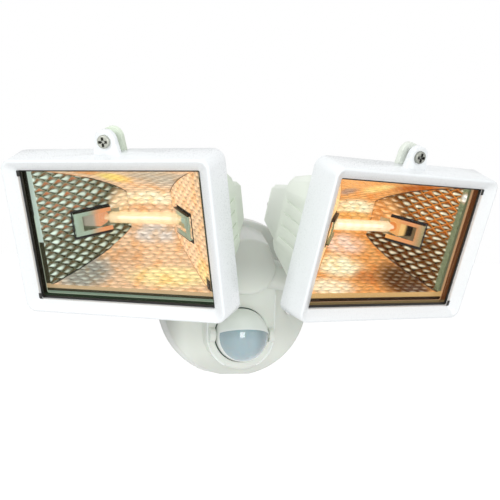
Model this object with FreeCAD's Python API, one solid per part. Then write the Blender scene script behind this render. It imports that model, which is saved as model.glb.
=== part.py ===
import FreeCAD, Part
import math
import os
from FreeCAD import Placement, Rotation, Vector

# Motion sensor security light: a wall base with a tilting sensor and two floodlight heads.
# Millimetres. X to the right, Y into the wall, Z up. The origin is the middle of the wall face.
# A head is drawn in its own frame: x to the right, y from its front face to its back, z up.

# Clearances
SLIP = 0.3          # between a piece and the pocket that it drops into
TURN = 0.05         # radial, between a pin and the hole that it turns in
SWIVEL_GAP = 0.3    # between the flat cheeks of two pieces that swivel
BITE = 0.5          # how far two fused solids reach into each other

# Base
BASE_R = 62.0       # radius of the round base at the wall
BASE_RISE = 7.0     # the upper half is lifted by this, so the base is a little taller than wide
BASE_FLAT = 58.0    # height of the flat underside below the middle
BASE_DEPTH = 20.0
BASE_DRAFT = 3.0    # the side wall leans in by this
BASE_EDGE = 2.0     # rounded front edge
WALL = 2.5          # moulded wall thickness
RIM_GAP = 0.3       # the cover stops this far short of the wall
PLATE_T = 3.0
BOARD_LIFT = 7.5    # from the wall to the circuit board's back
BOARD_T = 1.6
BOARD_HALF = 30.0
BOARD_TOP = 20.0
BOARD_SIDE_LOW = 40.0
BOARD_LOW = 52.0
BOARD_LOW_HALF = 18.0
STANDOFF_R = 3.0
STANDOFF_X = 26.0
STANDOFF_HEIGHTS = (-36.0, 14.0)
COVER_SCREW_X = 44.0
COVER_SCREW_Z = -6.0
COVER_SCREW_R = 2.0
COVER_SCREW_LENGTH = 13.0
COVER_HEAD_R = 3.7
COVER_HEAD_T = 2.2
COVER_HEAD_SINK = 1.0
COVER_BOSS_R = 4.5
POST_R = 4.0
POST_FRONT = 14.0   # distance of the posts' faces from the wall
RELAY_X = (-20.0, -2.0)
RELAY_Z = (2.0, 17.0)
RELAY_T = 14.0
TERMINAL_HALF = 16.0
TERMINAL_Z = (23.0, 33.0)
TERMINAL_FRONT = 15.0
TERMINAL_PITCH = 10.0
TERMINAL_WELL_R = 2.4
TERMINAL_WELL = 5.0
TERMINAL_WIRE_R = 1.8
FIX_SPACING = 80.0  # between the two wall screws
FIX_SLOT_R = 2.4
FIX_SLOT_LENGTH = 12.0
FIX_HEIGHT = 8.0
CABLE_HOLE_R = 9.0
CABLE_HEIGHT = 44.0
CABLE_BORE_R = 4.0
GROMMET_LIP = 1.6
GROMMET_NOSE = 4.0

# Sensor pod, neck and arms, all moulded with the base cover
POD_R = 27.5
POD_TOP = 22.0
POD_FRONT = 38.0    # distance of its face from the wall
NECK_FRONT = 58.0
NECK_LOW_R = 22.0   # radius of the rounded lower end
NECK_LOW_Z = 31.0
NECK_TOP_Z = 51.0
NECK_TOP_HALF = 15.0
NECK_ROOT_TOP_Z = 63.0
NECK_ROOT_GROW = 3.0
NECK_CROWN = 4.0    # rise of the curved upper edge
NECK_EDGE = 2.5
POD_EDGE = 2.0
ROOT_DEPTH = 4.0    # how far pod and neck are rooted in the base's front
PIVOT_X = 64.0      # sideways place of a head's upright swivel axis
PIVOT_Y = -58.0
TILT_Z = 46.5       # height of a head's tilt axis
BOSS_R = 12.0
BOSS_TOP = 27.0
BOSS_BOTTOM = 11.0
ARM_ROOT_X = 12.0
ARM_ROOT = (-38.0, 15.0, 14.0, 41.0, 8.0)   # middle y, half depth, lower z, upper z, corner
ARM_MIDDLE_X = 0.55 * PIVOT_X
ARM_MIDDLE = (-47.0, 11.5, 11.5, 30.0, 7.0)
ARM_TIP_INSET = 1.5
ARM_TIP_CORNER = 5.0

# Sensor
SENSOR_Z = -24.0
SENSOR_Y = -40.0
SENSOR_R = 20.8
SENSOR_WALL = 1.8
SEAT_GAP = 0.8
LENS_TOP = 2.5      # upper edge of the lens above the ball's middle
LENS_BOTTOM = -17.0
LENS_BACK = -4.0    # the lens ends this far before the ball's middle plane
LENS_INSET = 0.5
LENS_T = 1.3
LENS_GAP = 0.15
SENSOR_BOARD_BACK = 4.0
SENSOR_BOARD_T = 1.4
SENSOR_WIRE_R = 5.0
STUB_R = 3.0
STUB_END = 25.2
STUB_ROOT = 0.8     # the stub starts this far inside the shell
STUB_EAR_R = 5.5
STUB_EAR_T = 4.2
SOCKET_DEPTH = 8.0
PYRO_R = 4.6
PYRO_FRONT = -4.0

# Pan knuckle
KNUCKLE_R = 11.5
KNUCKLE_FOOT = 4.0
TONGUE_T = 10.0
TONGUE_HALF = 8.0
EYE_R = 9.5
BOLT_R = 3.0
BOLT_HEAD_R = 5.0
BOLT_HEAD_T = 4.0
BOLT_ROOM = 1.6     # round the pan bolt's head, and above it
BOLT_TAIL = 7.0     # thread beyond the last face
EAR_T = 4.5

# Head
HEAD_W = 150.0
HEAD_H = 109.0
HEAD_CORNER = 7.0
SKIRT_DEPTH = 23.0
SKIRT_FLARE = 1.8
SKIRT_WALL = 3.0
BORDER_X = 8.7
BORDER_Z = 8.0
BORDER_RIM = 1.6
RECESS = 5.0
BEZEL_PLATE = 2.5
RUBBER_T = 1.0
RUBBER_SHOW = 1.5   # the rubber stands this far inside the bezel's opening
GLASS_T = 4.0
GLASS_LAP = 3.7     # how far the glass reaches behind the border
REFLECTOR_T = 0.8
FLANGE_T = 3.5
FLANGE_INSET = 2.0
HOUSING_BACK = 64.0
HOUSING_SIDE_IN = 2.6       # the body's front is this much inside the head's sides
HOUSING_TOP_IN = 7.1
HOUSING_BACK_HALF = 65.0
HOUSING_BACK_TOP = 29.4
HOUSING_BACK_BOTTOM = 30.6
SIDE_TOP_FRONT = 25.5       # upper edge of the flat side wall, at the front and at the back
SIDE_TOP_BACK = 18.5
SIDE_BOTTOM = -19.5
GROOVES = (12.6, 3.8, -5.0, -13.8)
GROOVE_START = 31.0
GROOVE_END = 57.0
GROOVE_DEPTH = 0.7
GROOVE_WIDTH = 1.1
BOX_FRONT_HALF = (64.0, 23.0, 22.0)     # half width, rise and drop of the terminal box
BOX_BACK_HALF = (59.5, 15.5, 15.0)
BOX_BEVEL = 3.0
BOX_BACK = 89.0
BACK_COVER_T = 2.6
BOX_SCREW_X = 55.5
BOX_SCREW_R = 1.5
BOX_SCREW_HEAD_R = 3.0
BOX_SCREW_HEAD_T = 1.8
BOX_SCREW_LENGTH = 9.5
BOX_BOSS_R = 3.4
BOX_BOSS_LENGTH = 12.0
EAR_TOP_Z = -16.5
LEAD_HALF = (11.0, 5.0)
LEAD_T = 9.0
LEAD_WIRE_X = 5.5
TILT_AXIS_Y = 78.0
TILT_AXIS_Z = -29.0
HEAD_TILT = 20.0
LEFT_YAW = -33.7
RIGHT_YAW = 19.3

# Bezel lug and screw
LUG_HALF = 8.0
LUG_R = 7.5
LUG_RISE = 17.0     # the lug's top above the head's upper edge
LUG_FRONT_Y = 10.5
LUG_T = 4.0
LUG_SLOT = 5.6
SCREW_R = 1.6
SCREW_HEAD_R = 4.4
SCREW_HEAD_T = 2.4
NUT_ACROSS = 6.0
NUT_T = 2.8

# Bezel hinge
HINGE_BACK = 3.5    # the pin lies this far behind the skirt's back edge
HINGE_DROP = 2.5    # the pin lies this far below the head's lower edge
HINGE_X = 52.0
HINGE_LOBE = 8.0
HINGE_EAR = 3.0
HINGE_ROOT = 14.5   # the ears reach this far up behind the lower edge
HINGE_R = 3.0
HINGE_PIN_R = 1.5

# Lamp
LAMP_Y = 49.5
LAMP_LENGTH = 78.0
LAMP_R = 4.2
LAMP_GLASS_LENGTH = 60.0
LAMP_WALL = 0.8
LAMP_END_R = 3.5
CONTACT_LENGTH = 2.0
FILAMENT_R = 1.0
REFLECTOR_SIDE_IN = 5.0     # the reflector's mouth is this much inside the bezel's opening
REFLECTOR_TOP_IN = 4.5
REFLECTOR_LIFT = 2.5        # its middle lies this far above the opening's middle
REFLECTOR_BACK = 60.2
REFLECTOR_BACK_HALF = 17.0
REFLECTOR_BACK_RISE = 13.5
REFLECTOR_STEPS = (0, 0.25, 0.5, 0.72, 0.88, 1)
HOLDER_INNER_X = 33.0
HOLDER_OUTER_X = 47.0
HOLDER_HALF = 5.6
BRACKET_Y = 40.0
BRACKET_LIFT = 2.0  # the bracket's face stands this far off the reflector's end wall
BRACKET_LENGTH = 27.0
BRACKET_HALF = 9.0
BRACKET_T = 1.0
WINDOW_START = -7.5
WINDOW_HALF = 5.4
LAMP_END_GAP = 0.2
CONTACT_R = 2.0
FILAMENT_HALF = 22.0
LEAD_R = 0.4

# Adjusters on the underside
KNOB_X = 6.5
KNOB_Y = -11.6
KNOB_R = 3.6
KNOB_T = 2.4
KNOB_SHAFT_R = 1.5
KNOB_SLOT = 1.0
KNOB_BOSS_WALL = 1.5
TRIMMER = 6.5
TRIMMER_DEPTH = 5.0

X_AXIS = Vector(1, 0, 0)
Y_AXIS = Vector(0, 1, 0)
Z_AXIS = Vector(0, 0, 1)

# Places worked out from the sizes above
BEZEL_BACK = RECESS + BEZEL_PLATE
GLASS_FRONT = BEZEL_BACK + RUBBER_T
RUBBER_BACK = GLASS_FRONT + GLASS_T + RUBBER_T
FLANGE_FRONT = RUBBER_BACK + REFLECTOR_T
LUG_REAR_Y = LUG_FRONT_Y + LUG_T + LUG_SLOT
LUG_TOP_Z = HEAD_H / 2 + LUG_RISE
SCREW_Z = LUG_TOP_Z - LUG_R
HINGE_Z = -HEAD_H / 2 - HINGE_DROP
HINGE_Y = SKIRT_DEPTH + HINGE_BACK
APERTURE_W = HEAD_W - 2 * BORDER_X
APERTURE_H = HEAD_H - 2 * BORDER_Z
GLASS_W = APERTURE_W + 2 * GLASS_LAP
GLASS_H = APERTURE_H + 2 * GLASS_LAP
REFLECTOR_FRONT_HALF = APERTURE_W / 2 - REFLECTOR_SIDE_IN
REFLECTOR_FRONT_RISE = APERTURE_H / 2 - REFLECTOR_TOP_IN
EARS_OUTER = TONGUE_T / 2 + SWIVEL_GAP + EAR_T


def box(x0, x1, y0, y1, z0, z1):
    return Part.makeBox(x1 - x0, y1 - y0, z1 - z0, Vector(x0, y0, z0))


def rod(start, axis, radius, length):
    return Part.makeCylinder(radius, length, start, axis)


def ring(start, axis, outer, inner, length):
    return rod(start, axis, outer, length).cut(rod(start, axis, inner, length))


def hexagon(start, axis, across, length):
    corner = across / math.sqrt(3)
    side = X_AXIS if abs(axis.x) < 0.5 else Z_AXIS
    other = axis.cross(side)
    points = []
    for n in range(7):
        turn = math.radians(60 * n)
        points.append(start + side * (corner * math.cos(turn)) + other * (corner * math.sin(turn)))
    return Part.Face(Part.makePolygon(points)).extrude(axis * length)


def cross_screw(face, axis, head_r, head_t, shank_r, length):
    """Cross-head screw along Y: its head starts at face, and its shank is length long."""
    head = rod(face, axis, head_r, head_t)
    shank = rod(face + axis * (head_t - BITE), axis, shank_r, BITE + length)
    body = fuse(head, shank)
    y0, y1 = sorted((face.y - axis.y, face.y + axis.y * head_t * 0.45))
    for wide, tall in ((0.6, 0.1), (0.1, 0.6)):
        wide *= head_r
        tall *= head_r
        body = body.cut(box(face.x - wide, face.x + wide, y0, y1, face.z - tall, face.z + tall))
    return body


def rounded_rect(width, height, corner, y):
    """Wire in the plane at y, with round corners."""
    a = width / 2
    b = height / 2
    k = corner * (1 - math.sqrt(0.5))
    edges = []
    for sx, sz in ((1, 1), (-1, 1), (-1, -1), (1, -1)):
        along = Vector(sx * (a - corner), y, sz * b)
        middle = Vector(sx * (a - k), y, sz * (b - k))
        down = Vector(sx * a, y, sz * (b - corner))
        if sx * sz > 0:
            edges.append(Part.Arc(down, middle, along).toShape())
        else:
            edges.append(Part.Arc(along, middle, down).toShape())
    wire = []
    for n, arc in enumerate(edges):
        following = edges[(n + 1) % 4]
        wire.append(arc)
        wire.append(Part.LineSegment(arc.Vertexes[-1].Point, following.Vertexes[0].Point).toShape())
    return Part.Wire(Part.__sortEdges__(wire))


def polygon(points, y):
    """Wire in the plane at y through (x, z) points."""
    corners = [Vector(x, y, z) for x, z in points]
    return Part.makePolygon(corners + corners[:1])


def prism(points, y0, y1):
    return Part.Face(polygon(points, y0)).extrude(Vector(0, y1 - y0, 0))


def loft(wires, ruled=True):
    return Part.makeLoft(wires, True, ruled)


def fuse(first, *others):
    return first.fuse(list(others)).removeSplitter()


def mirrored(shape):
    return shape.mirror(Vector(0, 0, 0), X_AXIS)


def base_outline(inset, flat_inset, y):
    """Round outline with a lifted upper half and a flat underside."""
    r = BASE_R - inset
    flat = BASE_FLAT - flat_inset
    half = math.sqrt(r * r - flat * flat)
    low = math.radians(-25)
    top = Part.Arc(Vector(r, y, BASE_RISE), Vector(0, y, r + BASE_RISE), Vector(-r, y, BASE_RISE))
    x_low = r * math.cos(low)
    z_low = r * math.sin(low)
    left = Part.Arc(Vector(-r, y, 0), Vector(-x_low, y, z_low), Vector(-half, y, -flat))
    right = Part.Arc(Vector(half, y, -flat), Vector(x_low, y, z_low), Vector(r, y, 0))
    lines = (
        Part.LineSegment(Vector(-r, y, BASE_RISE), Vector(-r, y, 0)),
        Part.LineSegment(Vector(-half, y, -flat), Vector(half, y, -flat)),
        Part.LineSegment(Vector(r, y, 0), Vector(r, y, BASE_RISE)),
    )
    edges = (top, lines[0], left, lines[1], right, lines[2])
    return Part.Wire([edge.toShape() for edge in edges])


def pod_outline(inset, y):
    """Upright sides round the sensor's lower half."""
    r = POD_R - inset
    top = POD_TOP - inset
    low = Part.Arc(Vector(-r, y, SENSOR_Z), Vector(0, y, SENSOR_Z - r), Vector(r, y, SENSOR_Z))
    lines = (
        Part.LineSegment(Vector(r, y, SENSOR_Z), Vector(r, y, top)),
        Part.LineSegment(Vector(r, y, top), Vector(-r, y, top)),
        Part.LineSegment(Vector(-r, y, top), Vector(-r, y, SENSOR_Z)),
    )
    return Part.Wire([low.toShape()] + [line.toShape() for line in lines])


def neck_outline(inset, grow, top_z, y):
    """Shield shape: a round lower end that narrows towards the top."""
    r = NECK_LOW_R + grow - inset
    half = NECK_TOP_HALF + grow - inset
    top = top_z - inset
    low = Part.Arc(Vector(-r, y, NECK_LOW_Z), Vector(0, y, NECK_LOW_Z - r), Vector(r, y, NECK_LOW_Z))
    side_top = top - NECK_CROWN
    crown = Part.Arc(Vector(half, y, side_top), Vector(0, y, top), Vector(-half, y, side_top))
    lines = (
        Part.LineSegment(Vector(r, y, NECK_LOW_Z), Vector(half, y, side_top)),
        Part.LineSegment(Vector(-half, y, side_top), Vector(-r, y, NECK_LOW_Z)),
    )
    return Part.Wire([low.toShape(), lines[0].toShape(), crown.toShape(), lines[1].toShape()])


def neck_block(inset, back, front):
    rear = neck_outline(inset, NECK_ROOT_GROW, NECK_ROOT_TOP_Z, back)
    face = neck_outline(inset, 0, NECK_TOP_Z, front)
    return loft([rear, face])


def arm_section(x, y_mid, y_half, z0, z1, corner):
    """Rounded section of an arm, across X."""
    wire = rounded_rect(2 * y_half, z1 - z0, corner, 0)
    wire.rotate(Vector(0, 0, 0), Z_AXIS, 90)
    wire.translate(Vector(x, y_mid, (z0 + z1) / 2))
    return wire


def arm():
    """Right-hand arm from the neck to the swivel boss."""
    root = arm_section(ARM_ROOT_X, *ARM_ROOT)
    middle = arm_section(ARM_MIDDLE_X, *ARM_MIDDLE)
    tip_low = BOSS_BOTTOM + ARM_TIP_INSET
    tip_high = BOSS_TOP - ARM_TIP_INSET
    tip = arm_section(PIVOT_X - BOSS_R / 3, PIVOT_Y, BOSS_R - 2, tip_low, tip_high, ARM_TIP_CORNER)
    boss = rod(Vector(PIVOT_X, PIVOT_Y, BOSS_BOTTOM), Z_AXIS, BOSS_R, BOSS_TOP - BOSS_BOTTOM)
    return fuse(loft([root, middle, tip]), boss)


def cover_screw_places():
    return [Vector(side * COVER_SCREW_X, -BASE_DEPTH, COVER_SCREW_Z) for side in (-1, 1)]


def cover_inner_inset(y):
    """How far the inside of the leaning side wall lies in from the base's radius."""
    return WALL - BASE_DRAFT * y / BASE_DEPTH


def knob_boss(side):
    """Thick place in the underside, around the sunk knob."""
    height = KNOB_T + SLIP + WALL
    return rod(Vector(side * KNOB_X, KNOB_Y, -BASE_FLAT), Z_AXIS, KNOB_R + SLIP + KNOB_BOSS_WALL, height)


def front_edges(shape, y):
    """Edges that lie in the plane at y."""
    return [edge for edge in shape.Edges if edge.BoundBox.YMax < y + 0.01]


def cover_shell():
    """Outside of the cover with its pod, neck and arms, hollowed from behind."""
    front = -BASE_DEPTH
    body = loft([base_outline(0, 0, -RIM_GAP), base_outline(BASE_DRAFT, 0, front)])
    body = body.makeFillet(BASE_EDGE, front_edges(body, front))
    pod = Part.Face(pod_outline(0, front + ROOT_DEPTH))
    pod = pod.extrude(Vector(0, BASE_DEPTH - POD_FRONT - ROOT_DEPTH, 0))
    pod = pod.makeFillet(POD_EDGE, front_edges(pod, -POD_FRONT))
    neck = neck_block(0, front + ROOT_DEPTH, -NECK_FRONT)
    neck = neck.makeFillet(NECK_EDGE, front_edges(neck, -NECK_FRONT))
    right_arm = arm()
    body = fuse(body, pod, neck, right_arm, mirrored(right_arm))
    inner_front = front + WALL
    body = body.cut(loft([base_outline(cover_inner_inset(1), WALL, 1),
                          base_outline(cover_inner_inset(inner_front), WALL, inner_front)]))
    body = body.cut(Part.Face(pod_outline(WALL, 0)).extrude(Vector(0, -POD_FRONT + WALL, 0)))
    return body.cut(neck_block(WALL, 0, -NECK_FRONT + WALL))


def with_sensor_socket(body):
    """Adds the wall round the sensor's ball and the ears for its stubs."""
    wall_back = -POD_FRONT + WALL + SOCKET_DEPTH
    body = body.fuse(rod(Vector(0, wall_back, SENSOR_Z), -Y_AXIS, POD_R - 1, WALL + SOCKET_DEPTH - 1))
    seat_r = SENSOR_R + SEAT_GAP
    for side in (-1, 1):
        start = Vector(side * seat_r, SENSOR_Y, SENSOR_Z)
        body = body.fuse(rod(start, X_AXIS * side, STUB_EAR_R, STUB_EAR_T))
    body = body.cut(rod(Vector(0, 0, SENSOR_Z), -Y_AXIS, seat_r, POD_FRONT + 1))
    reach = STUB_END + SLIP
    return body.cut(rod(Vector(-reach, SENSOR_Y, SENSOR_Z), X_AXIS, STUB_R + TURN, 2 * reach))


def base_cover():
    body = with_sensor_socket(cover_shell())
    boss_length = BASE_DEPTH - POST_FRONT - BITE
    for place in cover_screw_places():
        body = body.fuse(rod(place + Y_AXIS * BITE, Y_AXIS, COVER_BOSS_R, boss_length))
        body = body.cut(rod(place - Y_AXIS, Y_AXIS, COVER_SCREW_R + TURN, BASE_DEPTH))
        body = body.cut(rod(place - Y_AXIS, Y_AXIS, COVER_HEAD_R + SLIP, 1 + COVER_HEAD_SINK))
    for side in (-1, 1):
        centre = Vector(side * PIVOT_X, PIVOT_Y, BOSS_BOTTOM - 1)
        body = body.cut(rod(centre, Z_AXIS, BOLT_R + TURN, BOSS_TOP))
        body = body.cut(rod(centre, Z_AXIS, BOLT_HEAD_R + BOLT_ROOM, BOLT_HEAD_T + BOLT_ROOM))
    for side in (-1, 1):
        centre = Vector(side * KNOB_X, KNOB_Y, -BASE_FLAT - 1)
        body = body.fuse(knob_boss(side))
        body = body.cut(rod(centre, Z_AXIS, KNOB_R + SLIP, 1 + KNOB_T + SLIP))
        body = body.cut(rod(centre, Z_AXIS, KNOB_SHAFT_R + TURN, BASE_DEPTH / 2))
    return body.removeSplitter()


def slot_solid(x, y0, y1, z):
    half = FIX_SLOT_LENGTH / 2 - FIX_SLOT_R
    bar = box(x - half, x + half, y0, y1, z - FIX_SLOT_R, z + FIX_SLOT_R)
    for side in (-1, 1):
        bar = bar.fuse(rod(Vector(x + side * half, y0, z), Y_AXIS, FIX_SLOT_R, y1 - y0))
    return bar.removeSplitter()


def wall_plate():
    plate = loft([base_outline(cover_inner_inset(y) + SLIP, WALL + SLIP, y) for y in (0, -PLATE_T)])
    for place in cover_screw_places():
        start = Vector(place.x, -POST_FRONT, place.z)
        plate = plate.fuse(ring(start, Y_AXIS, POST_R, COVER_SCREW_R + TURN, POST_FRONT - PLATE_T + BITE))
    for x in (-STANDOFF_X, STANDOFF_X):
        for z in STANDOFF_HEIGHTS:
            start = Vector(x, -BOARD_LIFT, z)
            plate = plate.fuse(rod(start, Y_AXIS, STANDOFF_R, BOARD_LIFT - PLATE_T + BITE))
    for side in (-1, 1):
        plate = plate.cut(slot_solid(side * FIX_SPACING / 2, -PLATE_T - 1, 1, FIX_HEIGHT))
    plate = plate.cut(rod(Vector(0, -PLATE_T - 1, CABLE_HEIGHT), Y_AXIS, CABLE_HOLE_R, PLATE_T + 2))
    return plate.removeSplitter()


def cable_grommet():
    """Rubber bush with a lip and a nose inside the wall plate."""
    lip_front = Vector(0, -PLATE_T - GROMMET_LIP, CABLE_HEIGHT)
    waist = rod(Vector(0, -PLATE_T, CABLE_HEIGHT), Y_AXIS, CABLE_HOLE_R, PLATE_T)
    lip = rod(lip_front, Y_AXIS, CABLE_HOLE_R + 1.5, GROMMET_LIP)
    nose = Part.makeCone(CABLE_HOLE_R - 1.5, CABLE_BORE_R + 1.5, GROMMET_NOSE, lip_front, -Y_AXIS)
    body = fuse(waist, lip, nose)
    return body.cut(rod(Vector(0, -BASE_DEPTH, CABLE_HEIGHT), Y_AXIS, CABLE_BORE_R, BASE_DEPTH + 1))


def cover_screws():
    solids = []
    for place in cover_screw_places():
        face = place - Y_AXIS * (COVER_HEAD_T - COVER_HEAD_SINK)
        screw = cross_screw(face, Y_AXIS, COVER_HEAD_R, COVER_HEAD_T, COVER_SCREW_R, COVER_SCREW_LENGTH)
        solids.append(screw)
    return Part.makeCompound(solids)


def circuit_board():
    right = [(BOARD_LOW_HALF, -BOARD_LOW), (BOARD_HALF, -BOARD_SIDE_LOW), (BOARD_HALF, BOARD_TOP)]
    left = [(-x, z) for x, z in reversed(right)]
    return prism(right + left, -BOARD_LIFT - BOARD_T, -BOARD_LIFT)


def relay():
    back = -BOARD_LIFT - BOARD_T
    case = box(*RELAY_X, back - RELAY_T, back, *RELAY_Z)
    return case.makeChamfer(0.8, front_edges(case, back - RELAY_T))


def terminal_block():
    """Three-way screw terminal."""
    low, high = TERMINAL_Z
    body = box(-TERMINAL_HALF, TERMINAL_HALF, -TERMINAL_FRONT, -PLATE_T, low, high)
    for x in (-TERMINAL_PITCH, 0, TERMINAL_PITCH):
        well = rod(Vector(x, -TERMINAL_FRONT, (low + high) / 2), Y_AXIS, TERMINAL_WELL_R, TERMINAL_WELL)
        middle = -(TERMINAL_FRONT + PLATE_T) / 2
        wire_way = rod(Vector(x, middle, low), Z_AXIS, TERMINAL_WIRE_R, high - low)
        body = body.cut(well).cut(wire_way)
    return body


def trimmers():
    back = -BOARD_LIFT - BOARD_T
    low = -BASE_FLAT + KNOB_T + WALL + 2 * SLIP
    half = KNOB_X - KNOB_R
    solids = []
    for side in (-1, 1):
        x = side * KNOB_X
        block = box(x - half, x + half, back - TRIMMER_DEPTH, back, low, low + TRIMMER)
        bore = rod(Vector(x, KNOB_Y, low - 1), Z_AXIS, KNOB_SHAFT_R + TURN, TRIMMER - 1)
        solids.append(block.cut(bore))
    return Part.makeCompound(solids)


def knob(side):
    """Slotted adjuster knob with its shaft."""
    x = side * KNOB_X
    reach = KNOB_R - 0.8
    disc = rod(Vector(x, KNOB_Y, -BASE_FLAT), Z_AXIS, KNOB_R, KNOB_T)
    shaft = rod(Vector(x, KNOB_Y, -BASE_FLAT + 1), Z_AXIS, KNOB_SHAFT_R, KNOB_T + WALL + TRIMMER - 3)
    half = KNOB_SLOT / 2
    slot = box(x - reach, x + reach, KNOB_Y - half, KNOB_Y + half, -BASE_FLAT - 1, -BASE_FLAT + 1)
    return fuse(disc, shaft).cut(slot)


def sensor_centre():
    return Vector(0, SENSOR_Y, SENSOR_Z)


def ball_shell(outer, inner):
    return Part.makeSphere(outer, sensor_centre()).cut(Part.makeSphere(inner, sensor_centre()))


def lens_window(gap):
    """Space of the lens: the ball's lower front."""
    reach = SENSOR_R + 2
    return box(-reach, reach, SENSOR_Y - reach, SENSOR_Y + LENS_BACK - gap, SENSOR_Z + LENS_BOTTOM + gap,
               SENSOR_Z + LENS_TOP - gap)


def sensor_cap():
    """Upper half of the ball, with the brow above the lens."""
    shell = ball_shell(SENSOR_R, SENSOR_R - SENSOR_WALL)
    reach = SENSOR_R + 2
    upper = box(-reach, reach, SENSOR_Y - reach, SENSOR_Y + reach, SENSOR_Z + LENS_TOP, SENSOR_Z + reach)
    return shell.common(upper).cut(rod(Vector(-reach, SENSOR_Y, SENSOR_Z), X_AXIS, STUB_R + TURN, 2 * reach))


def sensor_holder():
    """Lower rear bowl with the lip under the lens and the two pivot stubs."""
    inner = SENSOR_R - SENSOR_WALL
    shell = ball_shell(SENSOR_R, inner)
    reach = SENSOR_R + 2
    lower = box(-reach, reach, SENSOR_Y - reach, SENSOR_Y + reach, SENSOR_Z - reach, SENSOR_Z + LENS_TOP)
    bowl = shell.common(lower).cut(lens_window(0))
    for side in (-1, 1):
        start = Vector(side * (inner - STUB_ROOT), SENSOR_Y, SENSOR_Z)
        bowl = bowl.fuse(rod(start, X_AXIS * side, STUB_R, STUB_END - inner + STUB_ROOT))
    wire_hole = rod(Vector(0, SENSOR_Y, SENSOR_Z + 2), Y_AXIS, SENSOR_WIRE_R, reach)
    return bowl.cut(wire_hole).removeSplitter()


def sensor_lens():
    """Translucent segmented lens, a little inside the ball's surface."""
    shell = ball_shell(SENSOR_R - LENS_INSET, SENSOR_R - LENS_INSET - LENS_T)
    return shell.common(lens_window(LENS_GAP))


def sensor_board():
    """Small round board inside the ball."""
    inner = SENSOR_R - SENSOR_WALL
    back = SENSOR_BOARD_BACK + SENSOR_BOARD_T
    radius = math.sqrt(inner * inner - back * back) - SLIP
    return rod(Vector(0, SENSOR_Y + SENSOR_BOARD_BACK, SENSOR_Z), Y_AXIS, radius, SENSOR_BOARD_T)


def pyro_element():
    z = SENSOR_Z + PYRO_FRONT
    can = rod(Vector(0, SENSOR_Y, z), Y_AXIS, PYRO_R, SENSOR_BOARD_BACK)
    return can.cut(box(-2, 2, SENSOR_Y - 1, SENSOR_Y + 0.6, z - 1.5, z + 1.5))


def pan_knuckle():
    """Swivel foot with an upright tongue, drawn on its own upright axis."""
    bottom = BOSS_TOP + SWIVEL_GAP
    foot = rod(Vector(0, 0, bottom), Z_AXIS, KNUCKLE_R, KNUCKLE_FOOT)
    foot = foot.makeChamfer(1.0, [e for e in foot.Edges if e.BoundBox.ZMin > bottom + 1])
    web = box(-TONGUE_T / 2, TONGUE_T / 2, -TONGUE_HALF, TONGUE_HALF, bottom + 1, TILT_Z)
    eye = rod(Vector(-TONGUE_T / 2, 0, TILT_Z), X_AXIS, EYE_R, TONGUE_T)
    body = fuse(foot, web, eye)
    body = body.cut(rod(Vector(-TONGUE_T, 0, TILT_Z), X_AXIS, BOLT_R + TURN, 2 * TONGUE_T))
    return body.cut(rod(Vector(0, 0, bottom - 1), Z_AXIS, BOLT_R, BOLT_TAIL + 2))


def pan_bolt():
    """Bolt from below, its head in the boss and its end in the knuckle."""
    head_top = BOSS_BOTTOM - 1 + BOLT_HEAD_T + BOLT_ROOM - SWIVEL_GAP
    head = hexagon(Vector(0, 0, head_top - BOLT_HEAD_T), Z_AXIS, 2 * BOLT_HEAD_R - 0.6, BOLT_HEAD_T)
    shank = rod(Vector(0, 0, head_top - 1), Z_AXIS, BOLT_R, BOSS_TOP + SWIVEL_GAP + BOLT_TAIL - head_top + 1)
    return fuse(head, shank)


def fade(y, at_front, at_back):
    """Value at depth y that runs evenly from the housing's front to its back."""
    part = (y - FLANGE_FRONT) / (HOUSING_BACK - FLANGE_FRONT)
    return at_front + (at_back - at_front) * part


def side_wall(y):
    return fade(y, HEAD_W / 2 - HOUSING_SIDE_IN, HOUSING_BACK_HALF)


def housing_section(y, inset):
    """Twelve-sided section of the tapered body at depth y."""
    half = side_wall(y) - inset
    top = fade(y, HEAD_H / 2 - HOUSING_TOP_IN, HOUSING_BACK_TOP) - inset
    bottom = fade(y, HEAD_H / 2 - HOUSING_TOP_IN, HOUSING_BACK_BOTTOM) - inset
    side_top = fade(y, SIDE_TOP_FRONT, SIDE_TOP_BACK)
    shoulder = half - fade(y, 8, 6)
    right = [
        (shoulder, -bottom),
        (half - fade(y, 4, 2.5), -bottom + fade(y, 12, 4.5)),
        (half, SIDE_BOTTOM + inset * 0.3),
        (half, side_top - inset * 0.3),
        (half - fade(y, 2.5, 2), top - fade(y, 7, 4)),
        (shoulder, top),
    ]
    left = [(-x, z) for x, z in reversed(right)]
    return polygon(right + left, y)


def box_section(y, inset):
    """Eight-sided section of the terminal box at depth y."""
    part = (y - HOUSING_BACK) / (BOX_BACK - HOUSING_BACK)
    half, top, bottom = [a + (b - a) * part - inset for a, b in zip(BOX_FRONT_HALF, BOX_BACK_HALF)]
    shoulder = half - BOX_BEVEL
    right = [(shoulder, -bottom), (half, -bottom + BOX_BEVEL), (half, top - BOX_BEVEL), (shoulder, top)]
    left = [(-x, z) for x, z in reversed(right)]
    return polygon(right + left, y)


def groove(z):
    """Slanted groove in the side wall of the housing."""
    x0 = side_wall(GROOVE_START)
    x1 = side_wall(GROOVE_END)
    corners = [
        Vector(x0 - GROOVE_DEPTH, GROOVE_START, z),
        Vector(x0 + 1, GROOVE_START, z),
        Vector(x1 + 1, GROOVE_END, z),
        Vector(x1 - GROOVE_DEPTH, GROOVE_END, z),
    ]
    return Part.Face(Part.makePolygon(corners + corners[:1])).extrude(Vector(0, 0, GROOVE_WIDTH))


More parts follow.
